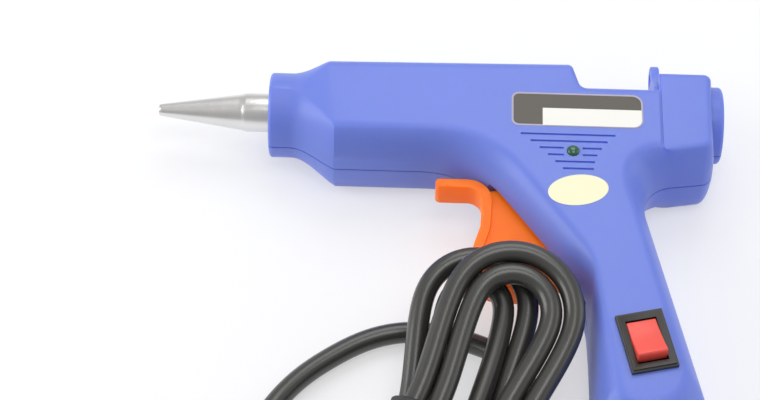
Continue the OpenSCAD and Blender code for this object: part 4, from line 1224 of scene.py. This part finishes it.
    def _tab(self) -> MeshData:
        """Hanging tab with its eye, rounded at its rims and flared where it stands on the body.

        Returns:
            A closed mesh in the gun's frame.
        """
        p, t, soft = self.plan, self.plan.tab_t, self.tab_soft
        foot = p.eye_y - p.notch_top + self.tab_foot
        left = p.box_x + p.tab_sink - t
        count = round(360.0 / self.tab_turn)
        rays: List[Point3] = []
        for k in range(count + 1):
            a = math.radians(self.tab_turn * k - 90.0)
            y, z, reach = math.sin(a), math.cos(a), p.tab_r
            while y < 0 and z >= 0 and k < count:
                deep, half = reach * -y, reach * z
                wide = min(self.tab_wide, p.tab_r + self.tab_flare * (deep / foot) ** self.tab_curve)
                if deep >= foot + max(0.0, half - p.tab_r) * self.tab_root or half >= wide:
                    break
                reach += self.tab_step
            rays.append((y, z, reach))
        small = soft * self.tab_soft_share
        rims = [(0.0, soft), (small, small), (soft, 0.0), (t - soft, 0.0), (t - small, small), (t, soft)]
        rings = [[(left + x, p.eye_y + (r - s) * y, (r - s) * z) for y, z, r in rays] for x, s in rims]
        for x, s in rims[::-1]:
            rings.append([(left + x, p.eye_y + (p.eye_r + s) * y, (p.eye_r + s) * z) for y, z, _ in rays])
        return MeshKit.skin(rings, True)


@dataclass
class NozzlePiece(SubAssembly):
    """Turned steel nozzle, with a narrow ring next to each end of its cone that keeps its shading even."""

    tip_r: float = 1.7
    outlet_r: float = 0.9
    outlet_l: float = 6.0
    outlet_soft: Point2 = (0.3, 0.2)
    base_l: float = 6.0
    seat: float = 3.1
    shank_r: float = 3.0
    shank_l: float = 6.0
    shank_wall: float = 1.0
    narrow: float = 0.2
    steps: int = 96
    shade: float = 30.0

    TIP = ((0.0, 0.45), (0.15, 0.15), (0.5, 0.0))
    SHOULDER = ((1.4, 0.42), (0.7, 0.22), (0.25, 0.06), (0.0, 0.0))

    def build(self) -> bpy.types.Object:
        """Makes the nozzle.

        Returns:
            Its object.
        """
        r, end, base = self.plan.nozzle_r, -self.plan.nozzle_l, -self.base_l
        bore, shank = self.shank_r - self.shank_wall, self.seat + self.shank_l
        tip = [(end + x, self.tip_r - less) for x, less in self.TIP]
        shoulder = [(base - x, r - less) for x, less in self.SHOULDER]
        (x0, r0), (x1, r1) = tip[-1], shoulder[0]
        rise = self.narrow * (r1 - r0) / (x1 - x0)
        profile = [
            (end + self.outlet_l, self.outlet_r), (end + self.outlet_soft[0], self.outlet_r),
            (end, self.outlet_r + self.outlet_soft[1]), *tip, (x0 + self.narrow, r0 + rise),
            (x1 - self.narrow, r1 - rise), *shoulder, (self.seat, r), (self.seat, self.shank_r),
            (shank, self.shank_r), (shank, bore), (base, bore),
        ]
        turned = MeshKit.lathe(profile, self.steps)
        return self.piece("nozzle_fine", turned, self.shade, "turned_steel", "nozzle")


@dataclass
class Labels(SubAssembly):
    """Bare label plate and bare oval sticker on the left side."""

    lift: float = 0.06
    sink: float = 0.02
    corner_steps: int = 8
    oval_at: Point2 = (87.2, -33.7)
    oval_half: Point2 = (8.3, 5.0)
    oval_turn: float = 10.0
    oval_steps: int = 72
    shade: float = 30.0

    PLATES = (
        ("label_rim", (69.1, -12.3, 105.6, -0.75), (2.9, 2.0, 2.0, 2.9), "label_rim"),
        ("label_field", (69.6, -11.75, 105.1, -1.3), (2.5, 1.6, 1.6, 2.4), "label_dark"),
        ("label_panel", (77.7, -12.1, 105.2, -6.15), (0.1, 0.1, 0.1, 2.5), "label_white"),
    )

    def _rounded(self, sides: Sequence[float], radii: Sequence[float]) -> List[Point2]:
        """Outline of a rectangle with rounded corners.

        Args:
            sides: Left, bottom, right and top.
            radii: Corner radii, from the upper right one counterclockwise.

        Returns:
            Its points.
        """
        x0, y0, x1, y1 = sides
        corners = ((x1, y1, -1, -1), (x0, y1, 1, -1), (x0, y0, 1, 1), (x1, y0, -1, 1))
        out = []
        for i, ((x, y, a, b), r) in enumerate(zip(corners, radii)):
            for k in range(self.corner_steps + 1):
                t = math.radians(90 * i + 90 * k / self.corner_steps)
                out.append((x + a * r + r * math.cos(t), y + b * r + r * math.sin(t)))
        return out

    def _plate(self, name: str, outline: Sequence[Point2], layer: int, finish: str) -> bpy.types.Object:
        """One thin layer.

        Args:
            name: The object's name.
            outline: Its outline.
            layer: Its place in the stack.
            finish: Its finish.

        Returns:
            Its object.
        """
        z = self.plan.half_t + self.lift * layer
        return self.piece(name, MeshKit.prism(outline, z - self.sink, z + self.lift), self.shade, finish)

    def build(self) -> List[bpy.types.Object]:
        """Makes the plate and the sticker.

        Returns:
            Their objects.
        """
        around = MeshKit.oval(*self.oval_half, self.oval_steps)
        oval = [tuple(self.oval_at + rotate2(q, self.oval_turn)) for q in around]
        made = [
            self._plate(name, self._rounded(sides, radii), layer, finish)
            for layer, (name, sides, radii, finish) in enumerate(self.PLATES)
        ]
        return made + [self._plate("oval_sticker", oval, 0, "sticker_cream")]


@dataclass(frozen=True)
class CordPlan:
    """Route of the mains cord in the gun's frame, with a closer hank than the CAD's."""

    d: float = 5.8
    run_half: float = 31.0
    fold_r: float = 19.0
    pitch: float = 6.4
    upper_pitch: float = 5.9
    upper_shift: Point2 = (1.1, -2.0)
    layer_pitch: float = 6.8
    layer_gap: float = 0.1
    layer_lead: float = 0.56
    loops: int = 4
    mid: Point2 = (55.6, -98.2)
    lower_turn: float = -10.0
    upper_turn: float = -23.0
    draw: float = 2.8
    rest_y: float = -63.569
    rest_z: float = 7.25
    share: float = 1 / 6
    start_y: float = -89.2
    plug: Point3 = (2.0, -114.0, -7.2)
    lead: Tuple[Point3, ...] = (
        (105.8, -136.3, -1.4), (102.6, -142.4, -3.2), (97, -146.6, -4.6), (90, -148, -4.8),
        (83, -146.4, -4), (76.2, -142.2, -2.6), (71, -136, -1), (67.8, -128, 0.6), (66.6, -119.4, 2.2),
    )
    tail: Tuple[Point3, ...] = (
        (2.2, -103, -8.2), (4, -95.5, -10.2), (7.8, -87.8, -11), (14, -80.2, -11), (21.5, -74, -11),
        (29.5, -68.8, -11), (37.5, -65.8, -11), (45.5, -65, -11), (53.5, -66.4, -10.6), (60.6, -69.4, -9.4),
        (67, -73.6, -7), (72.2, -79.6, -4.2), (74.4, -87, -1.8),
    )


class StrapPlace(NamedTuple):
    """Where the strap goes round the hank: its middle, its three directions and the strands inside it."""

    at: np.ndarray
    across: np.ndarray
    along: np.ndarray
    up: np.ndarray
    strands: np.ndarray


@dataclass
class MainsCord(SubAssembly):
    """The cord in one stretch, its boot, tie and plug."""

    route: CordPlan = CordPlan()
    sides: int = 18
    spacing: float = 1.6
    loop_steps: int = 72
    inside_steps: int = 12
    smooth_steps: int = 8
    cord_shade: float = 60.0
    boot_edge: float = 0.18
    tie_w: float = 7.0
    tie_t: float = 1.0
    tie_down: float = 5.0
    tie_near: float = 0.5
    tie_clear: float = 0.1
    tie_soft: float = 0.3
    tie_step: float = 4.0
    tie_shade: float = 40.0
    lap: Point2 = (48.0, 172.0)
    lap_sink: float = 0.05
    lap_t: float = 1.8
    lap_less: float = 0.4
    plug_l: float = 34.0
    plug_sides: int = 56
    plug_flat: Tuple[float, float, float] = (6.0, 6.0, 1.6)
    plug_shade: float = 38.0
    ribs: int = 5
    rib_first: float = 12.0
    rib_pitch: float = 2.4
    rib_size: Point3 = (9.0, 1.2, 0.7)
    rib_lift: float = 5.45
    pin_out: float = 9.3
    sleeve_steps: int = 32

    KINK_PASSES = (0, 6, 2)
    PLUG = (
        (0.0, 4.6, 4.4), (0.25, 5.0, 4.8), (2.0, 5.1, 4.9), (2.2, 4.7, 4.5), (3.0, 4.7, 4.5),
        (3.2, 5.2, 5.0), (5.0, 5.4, 5.1), (5.2, 4.9, 4.6), (6.0, 4.9, 4.6), (6.2, 5.6, 5.2),
        (9.0, 6.4, 5.4), (12.0, 8.0, 5.5), (16.0, 10.6, 5.5), (20.0, 12.9, 5.5), (23.5, 14.3, 5.5),
        (26.0, 14.9, 5.5),
        (27.4, 15.0, 5.5), (27.5, 16.6, 6.2), (27.9, 17.2, 6.6), (28.6, 17.5, 6.8), (32.8, 17.5, 6.8),
        (33.6, 17.2, 6.5), (34.0, 16.4, 5.9),
    )
    SLEEVE = ((-10.0, 1.25), (-10.0, 1.6), (-9.8, 1.7), (0.5, 1.7), (0.5, 1.25))

    def _lie(self) -> Tuple[float, float, float, float]:
        """How the hank leans against the gun.

        Returns:
            Its lowest height, its reach from the middle, its slope and the step between its layers.
        """
        c = self.route
        low = -self.plan.half_t + c.d / 2
        reach = c.run_half + c.fold_r
        slope = (c.rest_z - low) / (c.rest_y - c.mid[1] + reach)
        return low, reach, slope, c.layer_pitch / math.cos(math.atan(slope)) + c.layer_gap

    def _hank_point(self, u: float) -> np.ndarray:
        """Point of the hank.

        Args:
            u: Loops from its start.

        Returns:
            The point in the gun's frame.
        """
        c = self.route
        low, reach, slope, step = self._lie()
        inner = c.fold_r - c.pitch * c.loops / 2
        r = inner + (c.pitch if u < c.loops / 2 else c.upper_pitch) * abs(u - c.loops / 2)
        s, half = u - math.floor(u), c.share / 2
        turn = 180 / (0.5 - c.share)
        if s < half:
            p = np.array([r, -c.run_half * s / half])
        elif s < 0.5 - half:
            p = np.array([0, -c.run_half]) + rotate2((r, 0), -(s - half) * turn)
        elif s < 0.5 + half:
            p = np.array([-r, c.run_half * (s - 0.5) / half])
        elif s < 1 - half:
            p = np.array([0, c.run_half]) + rotate2((-r, 0), -(s - 0.5 - half) * turn)
        else:
            p = np.array([r, c.run_half * (1 - s) / half])
        if abs(p[1]) <= c.run_half:
            p[0] -= math.copysign(c.draw * math.cos(math.radians(90 * p[1] / c.run_half)) ** 2, p[0])
        layer = ease(max(0.0, min(1.0, (u - c.loops / 2) / c.share + c.layer_lead)))
        q = rotate2(p, c.lower_turn + (c.upper_turn - c.lower_turn) * layer)
        q += np.array(c.upper_shift) * layer
        y = c.mid[1] + q[1]
        return np.array([c.mid[0] + q[0], y, low + slope * (y - c.mid[1] + reach) + layer * step])

    def _smooth(self, points: Sequence[np.ndarray]) -> List[np.ndarray]:
        """Smooth line through points.

        Args:
            points: The points.

        Returns:
            The finer line.
        """
        out, n = [], len(points) - 1
        for i in range(n):
            a, b, c, d = points[max(i - 1, 0)], points[i], points[i + 1], points[min(i + 2, n)]
            for k in range(self.smooth_steps):
                t = k / self.smooth_steps
                out.append(0.5 * (2 * b + (c - a) * t + (2 * a - 5 * b + 4 * c - d) * t ** 2
                                  + (3 * b - 3 * c + d - a) * t ** 3))
        return out + [points[n]]

    def _path(self) -> np.ndarray:
        """Centreline from inside the handle to the plug.

        Returns:
            Points in the gun's frame.
        """
        p, c, n = self.plan, self.route, self.loop_steps
        hank = [self._hank_point(k / n) for k in range(n * c.loops + 1)]
        first, last = unit(hank[0] - hank[1]) * c.d, unit(hank[-1] - hank[-2]) * c.d
        straight, plug = np.array([0.0, c.d, 0.0]), np.array(c.plug)
        mouth = np.array([p.cord_x, -p.handle_h - p.boot_l, 0.0])
        inside = [np.array([p.cord_x, y, 0.0]) for y in np.linspace(c.start_y, mouth[1], self.inside_steps)]
        lead = [mouth, mouth - straight, *np.array(c.lead), hank[-1] + last, hank[-1]]
        tail = [hank[0], hank[0] + first, *np.array(c.tail)[::-1], plug + straight, plug]
        return self._even(np.array(
            inside[:-1] + self._smooth(lead)[:-1] + hank[::-1][:-1] + self._smooth(tail)
        ))

    def _even(self, line: np.ndarray) -> np.ndarray:
        """Respaces a line evenly and takes small kinks out of it.

        Args:
            line: The line's points.

        Returns:
            The even line with the same ends.
        """
        for passes in self.KINK_PASSES:
            away = np.concatenate([[0.0], np.cumsum(np.linalg.norm(np.diff(line, axis=0), axis=1))])
            at = np.linspace(0.0, away[-1], int(away[-1] / self.spacing) + 1)
            line = np.stack([np.interp(at, away, line[:, k]) for k in range(3)], axis=1)
            for _ in range(passes):
                line[1:-1] = (line[:-2] + 2 * line[1:-1] + line[2:]) / 4
        return line

    def build(self) -> bpy.types.Object:
        """Returns:
            The cord's object.
        """
        p, c = self.plan, self.route
        route = self._path()
        line = np.array(p.place(route))
        cord = MeshKit.make("mains_cord", MeshKit.tube(line, c.d / 2 * MM, self.sides), self.cord_shade)
        self.settle(cord, "black_cord", "cord_lead", "cord_hank", "cord_tail")
        boot = MeshKit.rounded_copy("strain_relief", self.boot_edge)
        self.settle(boot, "black_cord", "strain_relief")
        tie = self._tie(route)
        plug = self._plug()
        p.place([(p.cord_x, -p.handle_h, 0.0)])[0]
        return cord

    def _strap_place(self, route: np.ndarray) -> StrapPlace:
        """Finds where the strap goes round the hank.

        Args:
            route: The cord's centreline in the gun's frame.

        Returns:
            The strap's place.
        """
        c = self.route
        low, reach, slope, step = self._lie()
        tilt = (c.lower_turn + c.upper_turn) / 2
        way = rotate2((0.0, 1.0), tilt)
        along = unit(np.array([way[0], way[1], slope * way[1]]))
        across = np.array([*rotate2((1.0, 0.0), tilt), 0.0])
        across = unit(across - along * (across @ along))
        up = np.cross(across, along)
        at = np.array([*(np.array(c.mid) - way * self.tie_down), 0.0])
        at[2] = low + slope * (at[1] - c.mid[1] + reach) + step / 2
        near = [q - at for q in route if np.linalg.norm(q - at) < c.fold_r + c.d]
        inside = [(q @ across, q @ up) for q in near if abs(q @ along) < self.tie_w / 2 + self.tie_near]
        return StrapPlace(at, across, along, up, np.array(inside))

    def _band(self, place: StrapPlace, sweep: Point2, inner: float, outer: float, w: float) -> MeshData:
        """Strip drawn round the strands.

        Args:
            place: Where it goes.
            sweep: First and last angle in degrees, 360 apart for a closed ring.
            inner: Inner distance from the strands' centres.
            outer: Outer distance.
            w: Half its width.

        Returns:
            The strip in the gun's frame.
        """
        first, angle = sweep[0], sweep[1] - sweep[0]
        whole, count = angle >= 360.0, int(angle / self.tie_step)
        soft = min(self.tie_soft, (outer - inner) / 2)
        section = ((inner, -w), (inner, w), (outer - soft, w), (outer, w - soft), (outer, soft - w),
                   (outer - soft, -w))
        rings = []
        for k in range(count if whole else count + 1):
            n = rotate2((1.0, 0.0), first + angle * k / count)
            strand = place.strands[int(np.argmax(place.strands @ n))]
            ring = []
            for out, off in section:
                q = strand + n * out
                ring.append(place.at + place.across * q[0] + place.up * q[1] + place.along * off)
            rings.append(ring)
        return MeshKit.skin(rings, whole)

    def _tie(self, route: np.ndarray) -> bpy.types.Object:
        """Strap drawn tight round the hank, with its loose end lapped over it.

        Args:
            route: The cord's centreline in the gun's frame.

        Returns:
            Its object.
        """
        place = self._strap_place(route)
        r, t, w = self.route.d / 2 + self.tie_clear, self.tie_t, self.tie_w / 2
        ring = self._band(place, (0.0, 360.0), r, r + t, w)
        lap = self._band(place, self.lap, r + t - self.lap_sink, r + self.lap_t * t, w - self.lap_less)
        strap = MeshKit.merge([ring, lap])
        return self.piece("cord_tie_fine", strap, self.tie_shade, "grey_tie", "cord_tie")

    def _plug(self) -> bpy.types.Object:
        """Flat two-pin plug body, lofted from rounded sections, with grip ribs and pin sleeves.

        Returns:
            Its object.
        """
        px, py, pz = self.route.plug
        first, span, more = self.plug_flat
        rings = []
        for y, w, h in self.PLUG:
            power = 2.0 + more * max(0.0, min(1.0, (w - first) / span))
            rings.append([(px + x, py - y, pz + z) for x, z in MeshKit.oval(w, h, self.plug_sides, power)])
        parts = [MeshKit.skin(rings)]
        long, wide, high = self.rib_size
        for i in range(self.ribs):
            y = py - self.rib_first - i * self.rib_pitch
            for z in (pz - self.rib_lift, pz + self.rib_lift):
                low, top = (px - long / 2, y - wide, z - high / 2), (px + long / 2, y, z + high / 2)
                parts.append(MeshKit.box(low, top))
        sleeve = MeshKit.lathe(self.SLEEVE, self.sleeve_steps)
        for x in (px - self.pin_out, px + self.pin_out):
            parts.append(MeshKit.moved(sleeve, (x, py - self.plug_l, pz), Axis.Y))
        return self.piece("plug_fine", MeshKit.merge(parts), self.plug_shade, "black_plug", "plug_body")


@dataclass
class SmallPieces(SubAssembly):
    """Visible moulded and turned pieces that keep their CAD shape with softened edges."""

    slope_low: Point3 = (4.37, 6.82, 1.2)
    slope_high: Point3 = (5.5, 8.05, 1.6)
    lip: Point3 = (4.15, 6.5, 1.15)
    lip_t: float = 0.3
    lip_lap: float = 0.01
    cap: Point3 = (0.45, 1.6, 1.0)
    cap_at: float = 5.65
    bezel_shade: float = 12.0
    lamp_rise: float = 0.55
    spring_shade: float = 60.0

    ROUNDED = (
        ("trigger", "trigger", 0.45, "orange_trigger"),
        ("switch_housing", "gun", 0.3, "black_switch"),
        ("rocker", "rocker", 0.4, "red_rocker"),
        ("stick_guide", "gun", 0.15, "blue_shell"),
    )

    def build(self) -> List[bpy.types.Object]:
        """Makes the rounded copies, the lamp and the spring.

        Returns:
            Their objects.
        """
        made = []
        for node, body, width, finish in self.ROUNDED:
            obj = MeshKit.rounded_copy(node, width)
            if node == "switch_housing":
                self._bezel(obj)
            made.append(self.settle(obj, finish, node, body=body))
        return made + [self._lamp(), self._spring()]

    def _bezel(self, housing: bpy.types.Object) -> None:
        """Gives the switch housing sloping faces, a lip and closed sides over the rocker's bearings.

        Args:
            housing: The housing's copy.
        """
        low, high = np.array(self.slope_low), np.array(self.slope_high)
        u, v, top = self.cap
        caps = [self._block([(u, v, 0.0), (u, v, top)], False, at) for at in (-self.cap_at, self.cap_at)]
        a, b, edge = self.slope_high
        x, y, z = self.lip
        under = z - self.lip_t
        lip = self._block([(a, b, edge + self.lip_lap), (x, y, z), (x, y, under), (a, b, under)], True)
        MeshKit.cut(housing, self._block([low, 2 * high - low], False))
        MeshKit.join(housing, MeshKit.merge([lip, *caps]))
        MeshKit.shade(housing, self.bezel_shade)

    def _block(self, rings: Sequence[Sequence[float]], closed: bool, shift: float = 0.0) -> MeshData:
        """Block or frame through rectangles about the switch's middle.

        Args:
            rings: Half width, half length and height of each rectangle.
            closed: True for a frame, False for a block.
            shift: Its distance across from the middle.

        Returns:
            A closed mesh in the row's frame.
        """
        p = self.plan
        squares = []
        for u, v, z in rings:
            corners = ((shift - u, -v), (shift + u, -v), (shift + u, v), (shift - u, v))
            squares.append([(*(p.switch_at + rotate2(q, p.lean)), p.half_t + z) for q in corners])
        return p.placed(MeshKit.skin(squares, closed))

    def _lamp(self) -> bpy.types.Object:
        """Pilot lamp with a flatter dome.

        Returns:
            Its object.
        """
        lamp = MeshKit.rounded_copy("pilot_lamp", 0.0)
        top = self.plan.body_t * MM
        for vertex in lamp.data.vertices:
            if vertex.co.z > top:
                vertex.co.z = top + (vertex.co.z - top) * self.lamp_rise
        return self.settle(lamp, "green_lens", "pilot_lamp")

    def _spring(self) -> bpy.types.Object:
        """Smooth-shaded copy of the return spring.

        Returns:
            Its object.
        """
        node = "return_spring"
        spring = MeshKit.link(f"{node}_fine", frame["nodes"][node].data.copy())
        MeshKit.shade(spring, self.spring_shade)
        self.finishes.wear(spring, "turned_steel")
        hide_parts(node)
        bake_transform(spring)
        return spring


class Lamp(NamedTuple):
    """Soft square light: its place, what it points at, its side in metres and its power in watts."""

    name: str
    at: Point3
    to: Point3
    size: float
    power: float


@dataclass
class Studio:
    """Camera, floor and light."""

    camera_at: Point3 = (-3.05, -338.05, 514.9)
    elevation: float = 55.0
    yaw: float = 2.07
    lens: float = 104.2
    sensor: float = 36.0
    clip: float = 0.01
    world_front: float = 0.42
    world_back: float = 0.62
    floor_half: float = 3.0
    floor_gap: float = 0.00005
    floor_colour: Colour = (0.95, 0.96, 1.0)
    floor_roughness: float = 0.6
    floor_glow: float = 0.5

    LAMPS = (
        Lamp("key", (0.04, 0.42, 0.62), (0.02, 0.0, 0.01), 0.42, 1.28),
        Lamp("top", (0.09, -0.09, 0.72), (0.01, -0.02, 0.01), 0.3, 0.9),
        Lamp("fill", (-0.74, -0.02, 0.36), (0.0, 0.0, 0.0), 0.5, 2.8),
        Lamp("rim", (0.70, 0.06, 0.26), (0.04, -0.02, 0.01), 0.5, 0.7),
    )

    def build(self) -> None:
        """Makes the studio."""
        scene = bpy.context.scene
        scene.view_settings.view_transform = "Standard"
        data = bpy.data.cameras.new("camera")
        data.lens = self.lens
        data.sensor_width = self.sensor
        data.clip_start = self.clip
        camera = MeshKit.link("camera", data)
        camera.location = [v * MM for v in self.camera_at]
        camera.rotation_euler = (math.radians(90 - self.elevation), 0.0, math.radians(self.yaw))
        scene.camera = camera
        self._floor()
        for lamp in self.LAMPS:
            self._light(lamp)
        scene.world = self._world()

    def _world(self) -> bpy.types.World:
        """Makes a soft sky that is brighter behind the gun than in front of it.

        Returns:
            The world.
        """
        world = bpy.data.worlds.new("world")
        world.use_nodes = True
        tree = world.node_tree
        where = NodeKit.add(tree, "TexCoord", {}).outputs["Generated"]
        split = NodeKit.add(tree, "SeparateXYZ", {"Vector": where})
        level = NodeKit.add(tree, "MapRange", {
            "Value": split.outputs["Y"], "From Min": -1.0,
            "To Min": self.world_front, "To Max": self.world_back,
        })
        sky = {"Color": (1.0, 1.0, 1.0, 1.0), "Strength": level.outputs["Result"]}
        NodeKit.fill(tree, tree.nodes["Background"], sky)
        return world

    def _floor(self) -> None:
        """Makes a plain pale floor that shows white and keeps the gun's shadow."""
        mesh = bpy.data.meshes.new("floor")
        s, z = self.floor_half, -self.floor_gap
        mesh.from_pydata([(-s, -s, z), (s, -s, z), (s, s, z), (-s, s, z)], [], [[0, 1, 2, 3]])
        material = bpy.data.materials.new("pale_floor")
        material.use_nodes = True
        tree = material.node_tree
        shader = tree.nodes["Principled BSDF"]
        pale = {"Base Color": (*self.floor_colour, 1.0), "Roughness": self.floor_roughness}
        NodeKit.fill(tree, shader, pale)
        rays = NodeKit.add(tree, "LightPath", {}).outputs
        seen = NodeKit.reckon(tree, "ADD", rays["Is Camera Ray"], rays["Is Glossy Ray"])
        seen = NodeKit.reckon(tree, "ADD", seen, rays["Is Transmission Ray"], clamp=True)
        share = NodeKit.reckon(tree, "MULTIPLY", seen, self.floor_glow)
        white = NodeKit.add(tree, "Emission", {}).outputs["Emission"]
        mix = NodeKit.add(tree, "MixShader", {"Fac": share, 1: shader.outputs["BSDF"], 2: white})
        NodeKit.fill(tree, tree.nodes["Material Output"], {"Surface": mix.outputs["Shader"]})
        mesh.materials.append(material)
        MeshKit.link("floor", mesh)

    @staticmethod
    def _light(lamp: Lamp) -> None:
        """Makes a soft area light.

        Args:
            lamp: Its sizes.
        """
        data = bpy.data.lights.new(lamp.name, "AREA")
        data.size = lamp.size
        data.energy = lamp.power
        light = MeshKit.link(lamp.name, data)
        light.location = lamp.at
        light.rotation_euler = (Vector(lamp.to) - Vector(lamp.at)).to_track_quat("-Z", "Y").to_euler()


@dataclass
class GlueGunScene:
    """The whole picture."""

    plan: Plan

    def build(self) -> List[bpy.types.Object]:
        """Builds every sub-assembly.

        Returns:
            The pieces made here, besides the CAD nodes that stay in view.
        """
        Studio().build()
        finishes = FinishLibrary()
        finishes.wear_frame()
        pieces = [MainsCord(self.plan, finishes).build()]
        pieces += BodyShells(self.plan, finishes).build()
        pieces.append(NozzlePiece(self.plan, finishes).build())
        pieces += SmallPieces(self.plan, finishes).build()
        pieces += Labels(self.plan, finishes).build()
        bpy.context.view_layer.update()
        return pieces


def main() -> None:
    """Builds the scene and reports each piece."""
    logging.basicConfig(level=logging.INFO)
    for piece in GlueGunScene(PLAN).build():
        size = " x ".join(f"{v / MM:.1f}" for v in piece.dimensions)
        LOG.info("%s: %s mm, %d faces", piece.name, size, len(piece.data.polygons))


if __name__ == "__main__":
    main()
